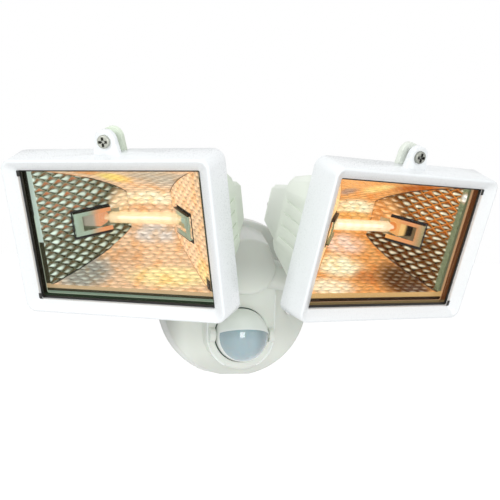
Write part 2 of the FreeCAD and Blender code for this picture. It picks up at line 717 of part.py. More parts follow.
def tilt_ears():
    """Two ears under the terminal box, with the tilt bolt's hole."""
    solids = []
    inner = TONGUE_T / 2 + SWIVEL_GAP
    for side in (-1, 1):
        x0 = min(side * inner, side * (inner + EAR_T))
        eye = rod(Vector(x0, TILT_AXIS_Y, TILT_AXIS_Z), X_AXIS, EYE_R, EAR_T)
        web = box(x0, x0 + EAR_T, TILT_AXIS_Y - EYE_R, TILT_AXIS_Y + EYE_R, TILT_AXIS_Z, EAR_TOP_Z)
        solids.append(fuse(eye, web))
    return solids


def hinge_ears():
    solids = []
    for side in (-1, 1):
        for offset in (-1, 1):
            x_mid = side * HINGE_X + offset * (HINGE_LOBE / 2 + SWIVEL_GAP + HINGE_EAR / 2)
            x0 = x_mid - HINGE_EAR / 2
            eye = rod(Vector(x0, HINGE_Y, HINGE_Z), X_AXIS, HINGE_R, HINGE_EAR)
            web = box(x0, x0 + HINGE_EAR, HINGE_Y - HINGE_R + 0.1, HINGE_Y + HINGE_R, HINGE_Z, HINGE_ROOT - HEAD_H / 2)
            solids.append(fuse(eye, web))
    return solids


def lug(y0, thickness, foot_z):
    """Upright ear with a round top and the screw's hole."""
    low = [(-LUG_HALF - 1.5, foot_z), (LUG_HALF + 1.5, foot_z), (LUG_R, SCREW_Z), (-LUG_R, SCREW_Z)]
    web = prism(low, y0, y0 + thickness)
    eye = rod(Vector(0, y0, SCREW_Z), Y_AXIS, LUG_R, thickness)
    return fuse(web, eye)


def box_screw_places():
    return [Vector(side * BOX_SCREW_X, BOX_BACK - BACK_COVER_T, 0) for side in (-1, 1)]


def flange_size():
    less = 2 * (SKIRT_WALL + FLANGE_INSET) - 1
    return HEAD_W - less, HEAD_H - less


def housing_shell():
    """Tapered body with its flange and terminal box, hollow, without the fittings."""
    width, height = flange_size()
    flange = Part.Face(rounded_rect(width, height, 4, FLANGE_FRONT)).extrude(Vector(0, FLANGE_T, 0))
    body = loft([housing_section(FLANGE_FRONT, 0), housing_section(HOUSING_BACK, 0)])
    rear = loft([box_section(HOUSING_BACK - 1, 0), box_section(BOX_BACK - BACK_COVER_T, 0)])
    body = fuse(flange, body, rear, *tilt_ears())
    inside = [housing_section(FLANGE_FRONT - 1, WALL + 1), housing_section(HOUSING_BACK - WALL, WALL)]
    body = body.cut(loft(inside))
    return body.cut(loft([box_section(HOUSING_BACK + 1, WALL), box_section(BOX_BACK, WALL)]))


def housing():
    """Die-cast body with its flange, terminal box, tilt ears, hinge ears and the rear lug."""
    half_height = flange_size()[1] / 2
    rear_lug = lug(LUG_REAR_Y, LUG_T, half_height - 6)
    bridge_back = LUG_REAR_Y + LUG_T
    bridge = box(-LUG_HALF, LUG_HALF, FLANGE_FRONT + BITE, bridge_back, half_height - 7, half_height)
    body = fuse(housing_shell(), rear_lug, bridge, *hinge_ears())
    body = body.cut(reflector_solid(REFLECTOR_T + SLIP))
    for place in box_screw_places():
        boss = rod(place - Y_AXIS * BOX_BOSS_LENGTH, Y_AXIS, BOX_BOSS_R, BOX_BOSS_LENGTH)
        hole = rod(place - Y_AXIS * (BOX_BOSS_LENGTH - 2), Y_AXIS, BOX_SCREW_R + TURN, BOX_BOSS_LENGTH)
        body = body.fuse(boss).cut(hole)
    for z in GROOVES:
        right = groove(z)
        body = body.cut(right).cut(mirrored(right))
    body = body.cut(rod(Vector(0, LUG_REAR_Y - 1, SCREW_Z), Y_AXIS, SCREW_R + 2 * SLIP, LUG_T + 2))
    bolt_start = Vector(-EARS_OUTER - 1, TILT_AXIS_Y, TILT_AXIS_Z)
    body = body.cut(rod(bolt_start, X_AXIS, BOLT_R + TURN, 2 * EARS_OUTER + 2))
    body = body.cut(rod(Vector(-HEAD_W / 2, HINGE_Y, HINGE_Z), X_AXIS, HINGE_PIN_R, HEAD_W))
    return body.removeSplitter()


def rear_cover():
    """Lid of the terminal box."""
    lid = loft([box_section(BOX_BACK - BACK_COVER_T, 0), box_section(BOX_BACK, 0)])
    lid = lid.makeChamfer(0.8, [e for e in lid.Edges if e.BoundBox.YMin > BOX_BACK - 0.01])
    for place in box_screw_places():
        lid = lid.cut(rod(place - Y_AXIS, Y_AXIS, BOX_SCREW_R + TURN, BACK_COVER_T + 2))
    return lid


def rear_cover_screws():
    solids = []
    for place in box_screw_places():
        face = place + Y_AXIS * (BACK_COVER_T + BOX_SCREW_HEAD_T)
        head = (BOX_SCREW_HEAD_R, BOX_SCREW_HEAD_T)
        solids.append(cross_screw(face, -Y_AXIS, *head, BOX_SCREW_R, BOX_SCREW_LENGTH))
    return Part.makeCompound(solids)


def tilt_bolt():
    """Bolt across the ears."""
    start = Vector(-EARS_OUTER, TILT_AXIS_Y, TILT_AXIS_Z)
    head = hexagon(start, -X_AXIS, 2 * BOLT_HEAD_R, BOLT_HEAD_T)
    shank = rod(start - X_AXIS, X_AXIS, BOLT_R, 2 * EARS_OUTER + BOLT_TAIL)
    return fuse(head, shank)


def tilt_nut():
    start = Vector(EARS_OUTER, TILT_AXIS_Y, TILT_AXIS_Z)
    nut = hexagon(start, X_AXIS, 2 * BOLT_HEAD_R, BOLT_HEAD_T)
    return nut.cut(rod(start - X_AXIS, X_AXIS, BOLT_R + TURN, 2 * BOLT_HEAD_T))


def reflector_half(y):
    """Half width at depth y: flat end walls."""
    part = (y - RUBBER_BACK) / (REFLECTOR_BACK - RUBBER_BACK)
    return REFLECTOR_FRONT_HALF + (REFLECTOR_BACK_HALF - REFLECTOR_FRONT_HALF) * part


def reflector_rise(y):
    """Half height at depth y: a parabola round the lamp."""
    depth = REFLECTOR_BACK - RUBBER_BACK
    part = (REFLECTOR_BACK - y) / depth
    back = REFLECTOR_BACK_RISE
    return math.sqrt(back * back + (REFLECTOR_FRONT_RISE ** 2 - back * back) * part)


def reflector_solid(grow):
    wires = []
    depth = REFLECTOR_BACK - RUBBER_BACK
    for step in REFLECTOR_STEPS:
        y = RUBBER_BACK + depth * step
        a = reflector_half(y) + grow
        b = reflector_rise(y) + grow
        low = REFLECTOR_LIFT - b
        high = REFLECTOR_LIFT + b
        wires.append(polygon([(a, low), (a, high), (-a, high), (-a, low)], y + (grow if step == 1 else 0)))
    return loft(wires)


def reflector():
    """Folded sheet reflector with a flat rim and cut-outs for the lamp holders."""
    rim_w = GLASS_W + 2 * RUBBER_T
    rim_h = GLASS_H + 2 * RUBBER_T
    rim = Part.Face(rounded_rect(rim_w, rim_h, 4, RUBBER_BACK)).extrude(Vector(0, REFLECTOR_T, 0))
    body = fuse(rim, reflector_solid(REFLECTOR_T))
    body = body.cut(reflector_solid(0))
    half = HOLDER_HALF + SLIP
    for side in (-1, 1):
        inner = reflector_half(LAMP_Y + half) - REFLECTOR_T
        x0, x1 = sorted((side * inner, side * (HOLDER_OUTER_X + REFLECTOR_T)))
        body = body.cut(box(x0, x1, LAMP_Y - half, LAMP_Y + half, -half, half))
    return body.removeSplitter()


def lamp_holders():
    """Ceramic blocks that take the lamp's ends."""
    solids = []
    for side in (-1, 1):
        x0, x1 = sorted((side * HOLDER_INNER_X, side * HOLDER_OUTER_X))
        block = box(x0, x1, LAMP_Y - HOLDER_HALF, LAMP_Y + HOLDER_HALF, -HOLDER_HALF, HOLDER_HALF)
        block = block.makeChamfer(0.8, [e for e in block.Edges if abs(e.Vertexes[0].X - e.Vertexes[1].X) > 5])
        bore_start = Vector(side * (HOLDER_INNER_X - 1), LAMP_Y, 0)
        bore_length = LAMP_LENGTH / 2 + CONTACT_LENGTH - HOLDER_INNER_X + 1
        solids.append(block.cut(rod(bore_start, X_AXIS * side, LAMP_END_R + LAMP_END_GAP, bore_length)))
    return Part.makeCompound(solids)


def bracket_frame(side):
    """Unit vectors along and off the reflector's end wall, and the wall's middle point."""
    run = REFLECTOR_BACK - RUBBER_BACK
    fall = REFLECTOR_FRONT_HALF - REFLECTOR_BACK_HALF
    length = math.hypot(run, fall)
    along = Vector(-side * fall / length, run / length, 0)
    off = Vector(-side * run / length, -fall / length, 0)
    return Vector(side * reflector_half(BRACKET_Y), BRACKET_Y, 0), along, off


def bracket_plate(origin, along, off, a0, a1, b0, b1, z0, z1):
    """Block between a0 and a1 along the wall, b0 and b1 off it, z0 and z1."""
    corners = [origin + along * a + off * b for a, b in ((a0, b0), (a1, b0), (a1, b1), (a0, b1))]
    face = Part.Face(Part.makePolygon(corners + corners[:1]))
    solid = face.extrude(Vector(0, 0, z1 - z0))
    solid.translate(Vector(0, 0, z0))
    return solid


def lamp_brackets():
    """Sheet channels over the lamp's ends, each with a window that is open towards the lamp."""
    solids = []
    reach = BRACKET_LENGTH / 2
    outer = BRACKET_LIFT + BRACKET_T
    inner_half = BRACKET_HALF - BRACKET_T
    for side in (-1, 1):
        wall = bracket_frame(side)
        face = bracket_plate(*wall, -reach, reach, BRACKET_LIFT, outer, -BRACKET_HALF, BRACKET_HALF)
        upper = bracket_plate(*wall, -reach, reach, SLIP, outer, inner_half, BRACKET_HALF)
        lower = bracket_plate(*wall, -reach, reach, SLIP, outer, -BRACKET_HALF, -inner_half)
        window = bracket_plate(*wall, WINDOW_START, reach + 1, 0, outer + 1, -WINDOW_HALF, WINDOW_HALF)
        solids.append(fuse(face, upper, lower).cut(window).removeSplitter())
    return Part.makeCompound(solids)


def lamp_tube():
    """Quartz tube, closed at both ends by its pinches."""
    half = LAMP_GLASS_LENGTH / 2
    tube = rod(Vector(-half, LAMP_Y, 0), X_AXIS, LAMP_R, LAMP_GLASS_LENGTH)
    bore = rod(Vector(-half + 2, LAMP_Y, 0), X_AXIS, LAMP_R - LAMP_WALL, LAMP_GLASS_LENGTH - 4)
    return tube.cut(bore)


def lamp_ends():
    solids = []
    for side in (-1, 1):
        start = Vector(side * LAMP_GLASS_LENGTH / 2, LAMP_Y, 0)
        length = (LAMP_LENGTH - LAMP_GLASS_LENGTH) / 2
        solids.append(rod(start, X_AXIS * side, LAMP_END_R, length))
    return Part.makeCompound(solids)


def lamp_filament():
    """The wound filament's envelope, held by its leads from end to end."""
    half = LAMP_GLASS_LENGTH / 2 - 2
    core = rod(Vector(-FILAMENT_HALF, LAMP_Y, 0), X_AXIS, FILAMENT_R, 2 * FILAMENT_HALF)
    leads = rod(Vector(-half, LAMP_Y, 0), X_AXIS, LEAD_R, 2 * half)
    return fuse(core, leads)


def glass_pane():
    return Part.Face(rounded_rect(GLASS_W, GLASS_H, 4, GLASS_FRONT)).extrude(Vector(0, GLASS_T, 0))


def glass_gasket():
    """Rubber channel round the edge of the glass."""
    outer = Part.Face(rounded_rect(GLASS_W + 2 * RUBBER_T + 1, GLASS_H + 2 * RUBBER_T + 1, 5, BEZEL_BACK))
    outer = outer.extrude(Vector(0, RUBBER_BACK - BEZEL_BACK, 0))
    groove_face = Part.Face(rounded_rect(GLASS_W, GLASS_H, 4, GLASS_FRONT)).extrude(Vector(0, GLASS_T, 0))
    show = 2 * RUBBER_SHOW
    sight = Part.Face(rounded_rect(APERTURE_W - show, APERTURE_H - show, 1.5, BEZEL_BACK - 1))
    return outer.cut(groove_face).cut(sight.extrude(Vector(0, RUBBER_BACK, 0)))


def bezel():
    """Moulded front frame with its skirt, sloping border, front lug and hinge lobes."""
    flare = 2 * SKIRT_FLARE
    outer = loft([rounded_rect(HEAD_W, HEAD_H, HEAD_CORNER, 0),
                  rounded_rect(HEAD_W + flare, HEAD_H + flare, HEAD_CORNER + 1, SKIRT_DEPTH)])
    outer = outer.makeFillet(1.2, [e for e in outer.Edges if e.BoundBox.YMax < 0.01])
    inner_w = HEAD_W - 2 * SKIRT_WALL + 1
    inner_h = HEAD_H - 2 * SKIRT_WALL + 1
    wider = flare * 0.7
    pocket = loft([rounded_rect(inner_w, inner_h, HEAD_CORNER - 2, BEZEL_BACK),
                   rounded_rect(inner_w + wider, inner_h + wider, HEAD_CORNER - 1, SKIRT_DEPTH + 1)])
    rim = 2 * BORDER_RIM
    slope = loft([rounded_rect(HEAD_W - rim + 0.2, HEAD_H - rim + 0.2, HEAD_CORNER - 1.5, -0.1),
                  rounded_rect(APERTURE_W, APERTURE_H, 1.2, RECESS)])
    opening = Part.Face(rounded_rect(APERTURE_W, APERTURE_H, 1.2, RECESS - 0.5)).extrude(Vector(0, 6, 0))
    front_lug = lug(LUG_FRONT_Y, LUG_T, HEAD_H / 2 - 1)
    body = outer.cut(pocket).cut(slope).cut(opening)
    body = fuse(body, front_lug)
    notch = LUG_HALF + 2.2
    body = body.cut(box(-notch, notch, LUG_REAR_Y - 0.6, SKIRT_DEPTH + 2, HEAD_H / 2 - 6, HEAD_H / 2 + LUG_SLOT))
    for side in (-1, 1):
        x0 = side * HINGE_X - HINGE_LOBE / 2
        lobe = rod(Vector(x0, HINGE_Y, HINGE_Z), X_AXIS, HINGE_R, HINGE_LOBE)
        arm_y0 = SKIRT_DEPTH - 2.5
        strap = box(x0, x0 + HINGE_LOBE, arm_y0, HINGE_Y, HINGE_Z - HINGE_R, HINGE_Z + 1.2)
        body = fuse(body, lobe, strap)
        body = body.cut(rod(Vector(x0 - 1, HINGE_Y, HINGE_Z), X_AXIS, HINGE_PIN_R + TURN, HINGE_LOBE + 2))
    body = body.cut(rod(Vector(0, LUG_FRONT_Y - 1, SCREW_Z), Y_AXIS, SCREW_R + TURN, LUG_T + 2))
    return body.removeSplitter()


def bezel_screw():
    """Cross-head screw through both lugs."""
    face = Vector(0, LUG_FRONT_Y - SCREW_HEAD_T, SCREW_Z)
    length = LUG_REAR_Y + LUG_T + NUT_T + 1 - LUG_FRONT_Y
    body = cross_screw(face, Y_AXIS, SCREW_HEAD_R, SCREW_HEAD_T, SCREW_R, length)
    rim = [e for e in body.Edges if e.BoundBox.YMax < face.y + 0.01 and e.BoundBox.XMax > SCREW_HEAD_R - 0.01]
    return body.makeFillet(1.0, rim)


def bezel_nut():
    start = Vector(0, LUG_REAR_Y + LUG_T, SCREW_Z)
    nut = hexagon(start, Y_AXIS, NUT_ACROSS, NUT_T)
    return nut.cut(rod(start - Y_AXIS, Y_AXIS, SCREW_R + TURN, NUT_T + 2))


def lamp_contacts():
    """Sprung buttons at the ends of the ceramic bores."""
    solids = []
    for side in (-1, 1):
        start = Vector(side * LAMP_LENGTH / 2, LAMP_Y, 0)
        solids.append(rod(start, X_AXIS * side, CONTACT_R, CONTACT_LENGTH))
    return Part.makeCompound(solids)


def lead_terminal():
    """Ceramic connector on the front wall of the terminal box."""
    front = HOUSING_BACK + 1
    half, rise = LEAD_HALF
    body = box(-half, half, front, front + LEAD_T, -rise, rise)
    for x in (-LEAD_WIRE_X, LEAD_WIRE_X):
        body = body.cut(rod(Vector(x, front + LEAD_T / 2, -rise - 1), Z_AXIS, 1.6, 2 * rise + 2))
        body = body.cut(rod(Vector(x, front + LEAD_T / 2, 0), Y_AXIS, 2, LEAD_T))
    return body


def hinge_pins():
    solids = []
    half = HINGE_LOBE / 2 + SWIVEL_GAP + HINGE_EAR
    for side in (-1, 1):
        solids.append(rod(Vector(side * HINGE_X - half, HINGE_Y, HINGE_Z), X_AXIS, HINGE_PIN_R, 2 * half))
    return Part.makeCompound(solids)


def head_placement(side, yaw):
    """From the head's own frame to the light's, through its tilt and swivel axes."""
    to_axis = Placement(Vector(0, -TILT_AXIS_Y, -TILT_AXIS_Z), Rotation())
    tilt = Placement(Vector(0, 0, 0), Rotation(X_AXIS, HEAD_TILT))
    swivel = Placement(Vector(side * PIVOT_X, PIVOT_Y, TILT_Z), Rotation(Z_AXIS, yaw))
    return swivel * tilt * to_axis


def knuckle_placement(side, yaw):
    return Placement(Vector(side * PIVOT_X, PIVOT_Y, 0), Rotation(Z_AXIS, yaw))


def save(name, shape):
    shape.exportStep("parts/" + name + ".step")
    volume = sum(solid.Volume for solid in shape.Solids)
    print("%-24s solids %d  volume %.0f  valid %s" % (name, len(shape.Solids), volume, shape.isValid()))


def save_placed(name, shape, placement):
    placed = shape.copy()
    placed.Placement = placement * placed.Placement
    save(name, placed)


BASE_PIECES = {
    "wall_plate": wall_plate,
    "base_cover": base_cover,
    "cable_grommet": cable_grommet,
    "cover_screws": cover_screws,
    "circuit_board": circuit_board,
    "relay": relay,
    "terminal_block": terminal_block,
    "trimmers": trimmers,
    "sensor_cap": sensor_cap,
    "sensor_holder": sensor_holder,
    "sensor_lens": sensor_lens,
    "sensor_board": sensor_board,
    "pyro_element": pyro_element,
}
KNUCKLE_PIECES = {
    "pan_knuckle": pan_knuckle,
    "pan_bolt": pan_bolt,
}
HEAD_PIECES = {
    "housing": housing,
    "rear_cover": rear_cover,
    "rear_cover_screws": rear_cover_screws,
    "tilt_bolt": tilt_bolt,
    "tilt_nut": tilt_nut,
    "hinge_pins": hinge_pins,
    "bezel_nut": bezel_nut,
    "reflector": reflector,
    "lamp_holders": lamp_holders,
    "lamp_brackets": lamp_brackets,
    "lamp_tube": lamp_tube,
    "lamp_ends": lamp_ends,
    "lamp_contacts": lamp_contacts,
    "lead_terminal": lead_terminal,
    "lamp_filament": lamp_filament,
    "bezel": bezel,
    "bezel_screw": bezel_screw,
    "glass_pane": glass_pane,
    "glass_gasket": glass_gasket,
}

os.makedirs("parts", exist_ok=True)
for piece, make in BASE_PIECES.items():
    save(piece, make())
save("time_knob", knob(-1))
save("dusk_knob", knob(1))
for piece, make in KNUCKLE_PIECES.items():
    drawn = make()
    save_placed("left_" + piece, drawn, knuckle_placement(-1, LEFT_YAW))
    save_placed("right_" + piece, drawn, knuckle_placement(1, RIGHT_YAW))
for piece, make in HEAD_PIECES.items():
    drawn = make()
    save_placed("left_" + piece, drawn, head_placement(-1, LEFT_YAW))
    save_placed("right_" + piece, drawn, head_placement(1, RIGHT_YAW))
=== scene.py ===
import bisect
import math
from math import radians

import bpy
from mathutils import Matrix, Vector


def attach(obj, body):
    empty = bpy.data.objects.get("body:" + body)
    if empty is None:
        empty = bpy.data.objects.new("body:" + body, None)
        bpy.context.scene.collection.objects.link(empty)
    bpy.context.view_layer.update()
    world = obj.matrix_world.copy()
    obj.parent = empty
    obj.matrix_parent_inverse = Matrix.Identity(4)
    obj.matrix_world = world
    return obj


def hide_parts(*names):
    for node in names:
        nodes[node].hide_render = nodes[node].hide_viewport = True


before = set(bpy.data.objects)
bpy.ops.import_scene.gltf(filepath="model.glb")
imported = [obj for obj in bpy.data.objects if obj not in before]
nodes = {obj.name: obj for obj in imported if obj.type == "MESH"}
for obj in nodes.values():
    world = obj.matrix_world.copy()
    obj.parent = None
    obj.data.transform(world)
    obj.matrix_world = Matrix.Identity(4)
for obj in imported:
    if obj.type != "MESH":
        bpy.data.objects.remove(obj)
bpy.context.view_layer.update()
scene = bpy.context.scene
mm = 0.001

# where the two floodlight heads stand, in mm and degrees
heads = {
    "tilt": 20.0,
    "yaw": {"left": -33.7, "right": 19.3},
    "pivot": {"left": (-64.0, -58.0, 46.5), "right": (64.0, -58.0, 46.5)},
    "axisInHead": (0.0, 78.0, -29.0),
}


def headMatrix(side):
    turn = Matrix.Rotation(radians(heads["yaw"][side]), 4, "Z")
    lean = Matrix.Rotation(radians(heads["tilt"]), 4, "X")
    toPivot = Matrix.Translation(Vector(heads["pivot"][side]) * mm)
    return toPivot @ turn @ lean @ Matrix.Translation(-Vector(heads["axisInHead"]) * mm)


# small tools for modelling
def pick(obj):
    bpy.ops.object.select_all(action="DESELECT")
    obj.select_set(True)
    bpy.context.view_layer.objects.active = obj


def newObject(name, data):
    obj = bpy.data.objects.new(name, data)
    scene.collection.objects.link(obj)
    return obj


def made(name):
    obj = bpy.context.object
    obj.name = name
    obj.data.name = name
    return obj


def applyAll(obj):
    pick(obj)
    for modifier in list(obj.modifiers):
        bpy.ops.object.modifier_apply(modifier=modifier.name)


def endEdit():
    bpy.ops.object.mode_set(mode="OBJECT")


def editAll(obj):
    # starts edit mode with the whole mesh selected
    pick(obj)
    bpy.ops.object.mode_set(mode="EDIT")
    bpy.ops.mesh.select_all(action="SELECT")


def editFaces(obj, test):
    # starts edit mode with only the faces selected that pass the test
    pick(obj)
    bpy.ops.object.mode_set(mode="EDIT")
    bpy.ops.mesh.select_mode(type="FACE")
    bpy.ops.mesh.select_all(action="DESELECT")
    endEdit()
    for face in obj.data.polygons:
        face.select = test(face)
    bpy.ops.object.mode_set(mode="EDIT")


def extrudeEnd(obj, direction, step, sizes, centre=(0, 0, 0)):
    # pushes the end face out along x by step, in mm, and then scales it about the centre
    edge = max(vertex.co.x * direction for vertex in obj.data.vertices)
    editFaces(obj, lambda face: face.center.x * direction > edge - 1e-6)
    bpy.ops.mesh.extrude_region_move(TRANSFORM_OT_translate={"value": (direction * step * mm, 0, 0)})
    bpy.ops.transform.resize(value=sizes, center_override=centre)
    endEdit()


def smooth(obj, angle):
    pick(obj)
    bpy.ops.object.shade_smooth_by_angle(angle=radians(angle))


def giveWall(obj, thickness):
    wall = obj.modifiers.new("wall", "SOLIDIFY")
    wall.thickness = thickness * mm
    wall.offset = -1
    applyAll(obj)


def intoPlace(obj, side=None):
    # moves a finished piece from its own frame into the light's and bakes its place in
    if side:
        obj.matrix_world = headMatrix(side) @ obj.matrix_world
    pick(obj)
    bpy.ops.object.transform_apply(location=True, rotation=True, scale=True)


def joinAll(parts, name):
    pick(parts[0])
    for part in parts[1:]:
        part.select_set(True)
    if len(parts) > 1:
        bpy.ops.object.join()
    return made(name)


def mergeCorners(obj):
    # merges double corners and stays in edit mode with all selected
    editAll(obj)
    bpy.ops.mesh.remove_doubles(threshold=0.005 * mm)


def faceOutwards(obj):
    mergeCorners(obj)
    bpy.ops.mesh.normals_make_consistent()
    endEdit()


def bar(name, vertices, radius, length, x=0.0, y=0.0):
    # a round bar along x with its middle at x and y, in mm
    bpy.ops.mesh.primitive_cylinder_add(
        vertices=vertices, radius=radius * mm, depth=length * mm,
        rotation=(0, radians(90), 0), location=(x * mm, y * mm, 0))
    obj = made(name)
    intoPlace(obj)
    return obj


def rod(name, places, radius, resolution, caps=False):
    # a round rod through the places, in mm
    bpy.ops.curve.primitive_nurbs_path_add()
    path = made(name)
    spline = path.data.splines[0]
    spline.type = "POLY"
    spline.points.add(len(places) - len(spline.points))
    for point, place in zip(spline.points, places):
        point.co = (*(value * mm for value in place), 1)
    path.data.bevel_depth = radius * mm
    path.data.bevel_resolution = resolution
    path.data.use_fill_caps = caps
    pick(path)
    bpy.ops.object.convert(target="MESH")
    return bpy.context.object


# materials: small tools for nodes, then the effects that materials share
looks = {}


def newMaterial(name):
    material = bpy.data.materials.new(name)
    material.use_nodes = True
    looks[name] = material
    return material.node_tree, material.node_tree.nodes["Principled BSDF"]


def paint(obj, look):
    obj.data.materials.append(looks[look])


def node(tree, kind, **values):
    item = tree.nodes.new("ShaderNode" + kind)
    for key, value in values.items():
        setattr(item, key, value)
    return item


def put(tree, item, sockets):
    # sockets: name or index -> value, or an output to link
    for key, value in sockets.items():
        socket = item.inputs[key]
        if isinstance(value, bpy.types.NodeSocket):
            tree.links.new(value, socket)
        else:
            socket.default_value = value
    return item


def calc(tree, operation, a, b=0.0, clamp=False):
    item = node(tree, "Math", operation=operation, use_clamp=clamp)
    return put(tree, item, {0: a, 1: b}).outputs[0]


def plus(tree, a, b, clamp=False):
    return calc(tree, "ADD", a, b, clamp)


def minus(tree, a, b):
    return calc(tree, "SUBTRACT", a, b)


def times(tree, a, b):
    return calc(tree, "MULTIPLY", a, b)


def line(tree, value, slope, start, clamp=False):
    return plus(tree, times(tree, value, slope), start, clamp)


def absolute(tree, value):
    return calc(tree, "ABSOLUTE", value)


def vectorCalc(tree, operation, *inputs):
    item = node(tree, "VectorMath", operation=operation)
    return put(tree, item, dict(enumerate(inputs))).outputs


def scaled(tree, vector, factor):
    item = node(tree, "VectorMath", operation="SCALE")
    return put(tree, item, {0: vector, "Scale": factor}).outputs[0]


def objectPlace(tree):
    return node(tree, "TexCoord").outputs["Object"]


def axes(tree, vector):
    return put(tree, node(tree, "SeparateXYZ"), {0: vector}).outputs


def noise(tree, vector, scale, detail):
    item = node(tree, "TexNoise")
    return put(tree, item, {"Vector": vector, "Scale": scale, "Detail": detail}).outputs


def eased(tree, value, start, end, low=0.0, high=1.0):
    # runs smoothly from low at start to high at end
    item = node(tree, "MapRange", interpolation_type="SMOOTHSTEP")
    return put(tree, item, {0: value, 1: start, 2: end, 3: low, 4: high}).outputs[0]


def above(tree, value, limit, soft):
    return eased(tree, value, limit - soft, limit + soft)


def below(tree, value, limit, soft):
    return minus(tree, 1.0, above(tree, value, limit, soft))


def mixNumbers(tree, factor, a, b):
    item = node(tree, "Mix", data_type="FLOAT")
    return put(tree, item, {0: factor, 2: a, 3: b}).outputs[0]


def mixColors(tree, factor, a, b, kind="MIX"):
    item = node(tree, "Mix", data_type="RGBA", blend_type=kind)
    return put(tree, item, {0: factor, 6: a, 7: b}).outputs[2]


def ramp(tree, value, stops):
    item = put(tree, node(tree, "ValToRGB"), {0: value})
    for element, (place, color) in zip(item.color_ramp.elements, stops):
        element.position = place
        element.color = (*color, 1.0)
    return item.outputs[0]


def bumped(tree, height, strength, distance):
    item = node(tree, "Bump")
    return put(tree, item, {"Strength": strength, "Distance": distance, "Height": height}).outputs[0]


def tone(color):
    # a colour as it looks on a screen, 0 to 255, turned into scene values
    return (*((c / 255 / 12.92) if c <= 10 else ((c / 255 + 0.055) / 1.055) ** 2.4 for c in color), 1.0)


def newGroup(name, inputs, outputs):
    # inputs and outputs: label -> Float, Vector or Color
    group = bpy.data.node_groups.new(name, "ShaderNodeTree")
    for way, sockets in (("INPUT", inputs), ("OUTPUT", outputs)):
        for label, kind in sockets.items():
            group.interface.new_socket(label, in_out=way, socket_type="NodeSocket" + kind)
    return group, group.nodes.new("NodeGroupInput").outputs, group.nodes.new("NodeGroupOutput")


def useGroup(tree, group, **values):
    item = node(tree, "Group", node_tree=group)
    return put(tree, item, {key.replace("_", " "): value for key, value in values.items()}).outputs


def makeFinishGroup():
    # fine unevenness of a moulded or coated surface: mottled colour, roughness and bump
    cloudScale, grainDistance = 38.0, 0.0003
    tree, given, end = newGroup(
        "surfaceFinish",
        {"Color": "Color", "Mottle": "Float", "Grain Scale": "Float", "Grain Depth": "Float",
         "Roughness": "Float", "Roughness Spread": "Float"},
        {"Color": "Color", "Roughness": "Float", "Normal": "Vector"})
    place = objectPlace(tree)
    cloud = noise(tree, place, cloudScale, 3.0)[0]
    grain = noise(tree, place, given["Grain Scale"], 2.0)[0]
    shade = plus(tree, 1.0, times(tree, minus(tree, cloud, 0.5), given["Mottle"]))
    spread = times(tree, minus(tree, grain, 0.5), given["Roughness Spread"])
    put(tree, end, {"Color": scaled(tree, given["Color"], shade),
                    "Roughness": plus(tree, given["Roughness"], spread),
                    "Normal": bumped(tree, grain, given["Grain Depth"], grainDistance)})
    return tree


def makeLatticeGroup():
    # where a point lies in its diamond-shaped dimple
    tree, given, end = newGroup(
        "dimpleLattice", {"Place": "Vector", "Length": "Float", "Height": "Float"},
        {"Side": "Float", "Up": "Float", "Ridge": "Float", "Chance": "Float"})
    place = axes(tree, given["Place"])
    a = calc(tree, "DIVIDE", place[0], given["Length"])
    b = calc(tree, "DIVIDE", place[1], given["Height"])
    p = times(tree, plus(tree, a, b), 0.5)
    q = times(tree, minus(tree, a, b), 0.5)
    inP = calc(tree, "FRACT", p)
    inQ = calc(tree, "FRACT", q)
    edge = calc(tree, "MAXIMUM", absolute(tree, minus(tree, inP, 0.5)), absolute(tree, minus(tree, inQ, 0.5)))
    cell = put(tree, node(tree, "CombineXYZ"), {0: calc(tree, "FLOOR", p), 1: calc(tree, "FLOOR", q), 2: 0.5})
    chance = put(tree, node(tree, "TexWhiteNoise", noise_dimensions="3D"), {"Vector": cell.outputs[0]})
    put(tree, end, {"Side": minus(tree, plus(tree, inP, inQ), 1.0), "Up": minus(tree, inP, inQ),
                    "Ridge": times(tree, edge, 2.0), "Chance": chance.outputs["Value"]})
    return tree


def makeBlobGroup():
    # 1 in the middle of a soft ellipsoid, 0 outside it
    tree, given, end = newGroup(
        "softBlob", {"Place": "Vector", "Centre": "Vector", "Reach": "Vector"}, {"Mask": "Float"})
    apart = vectorCalc(tree, "SUBTRACT", given["Place"], given["Centre"])[0]
    shares = vectorCalc(tree, "DIVIDE", apart, given["Reach"])[0]
    length = vectorCalc(tree, "LENGTH", shares)["Value"]
    full, gone = 0.35, 1.1  # shares of the reach
    put(tree, end, {"Mask": eased(tree, length, full, gone, 1.0, 0.0)})
    return tree


finishGroup = makeFinishGroup()
latticeGroup = makeLatticeGroup()
blobGroup = makeBlobGroup()


def coated(name, color, roughness, mottle, grain, depth, spread=0.08, metallic=0.0, coat=0.0, coatRoughness=0.1,
           subsurface=0.0, fades=()):
    # grain and depth: scale and strength of the bumps; the last argument holds painted light and shade that make the
    # colour darker or lighter along an axis: axis, start and end in mm, factor beyond the end
    tree, shader = newMaterial(name)
    tint = (*color, 1.0)
    for axis, start, end, factor in fades:
        shadingFactor = eased(tree, axes(tree, objectPlace(tree))[axis], start * mm, end * mm, 1.0, factor)
        tint = scaled(tree, tint[:3] if isinstance(tint, tuple) else tint, shadingFactor)
    finish = useGroup(tree, finishGroup, Color=tint, Mottle=mottle, Grain_Scale=grain, Grain_Depth=depth,
                      Roughness=roughness, Roughness_Spread=spread)
    put(tree, shader, {"Base Color": finish["Color"], "Roughness": finish["Roughness"], "Normal": finish["Normal"],
                       "Metallic": metallic, "Coat Weight": coat, "Coat Roughness": coatRoughness})
    if subsurface:
        put(tree, shader, {"Subsurface Weight": subsurface, "Subsurface Scale": 0.004})
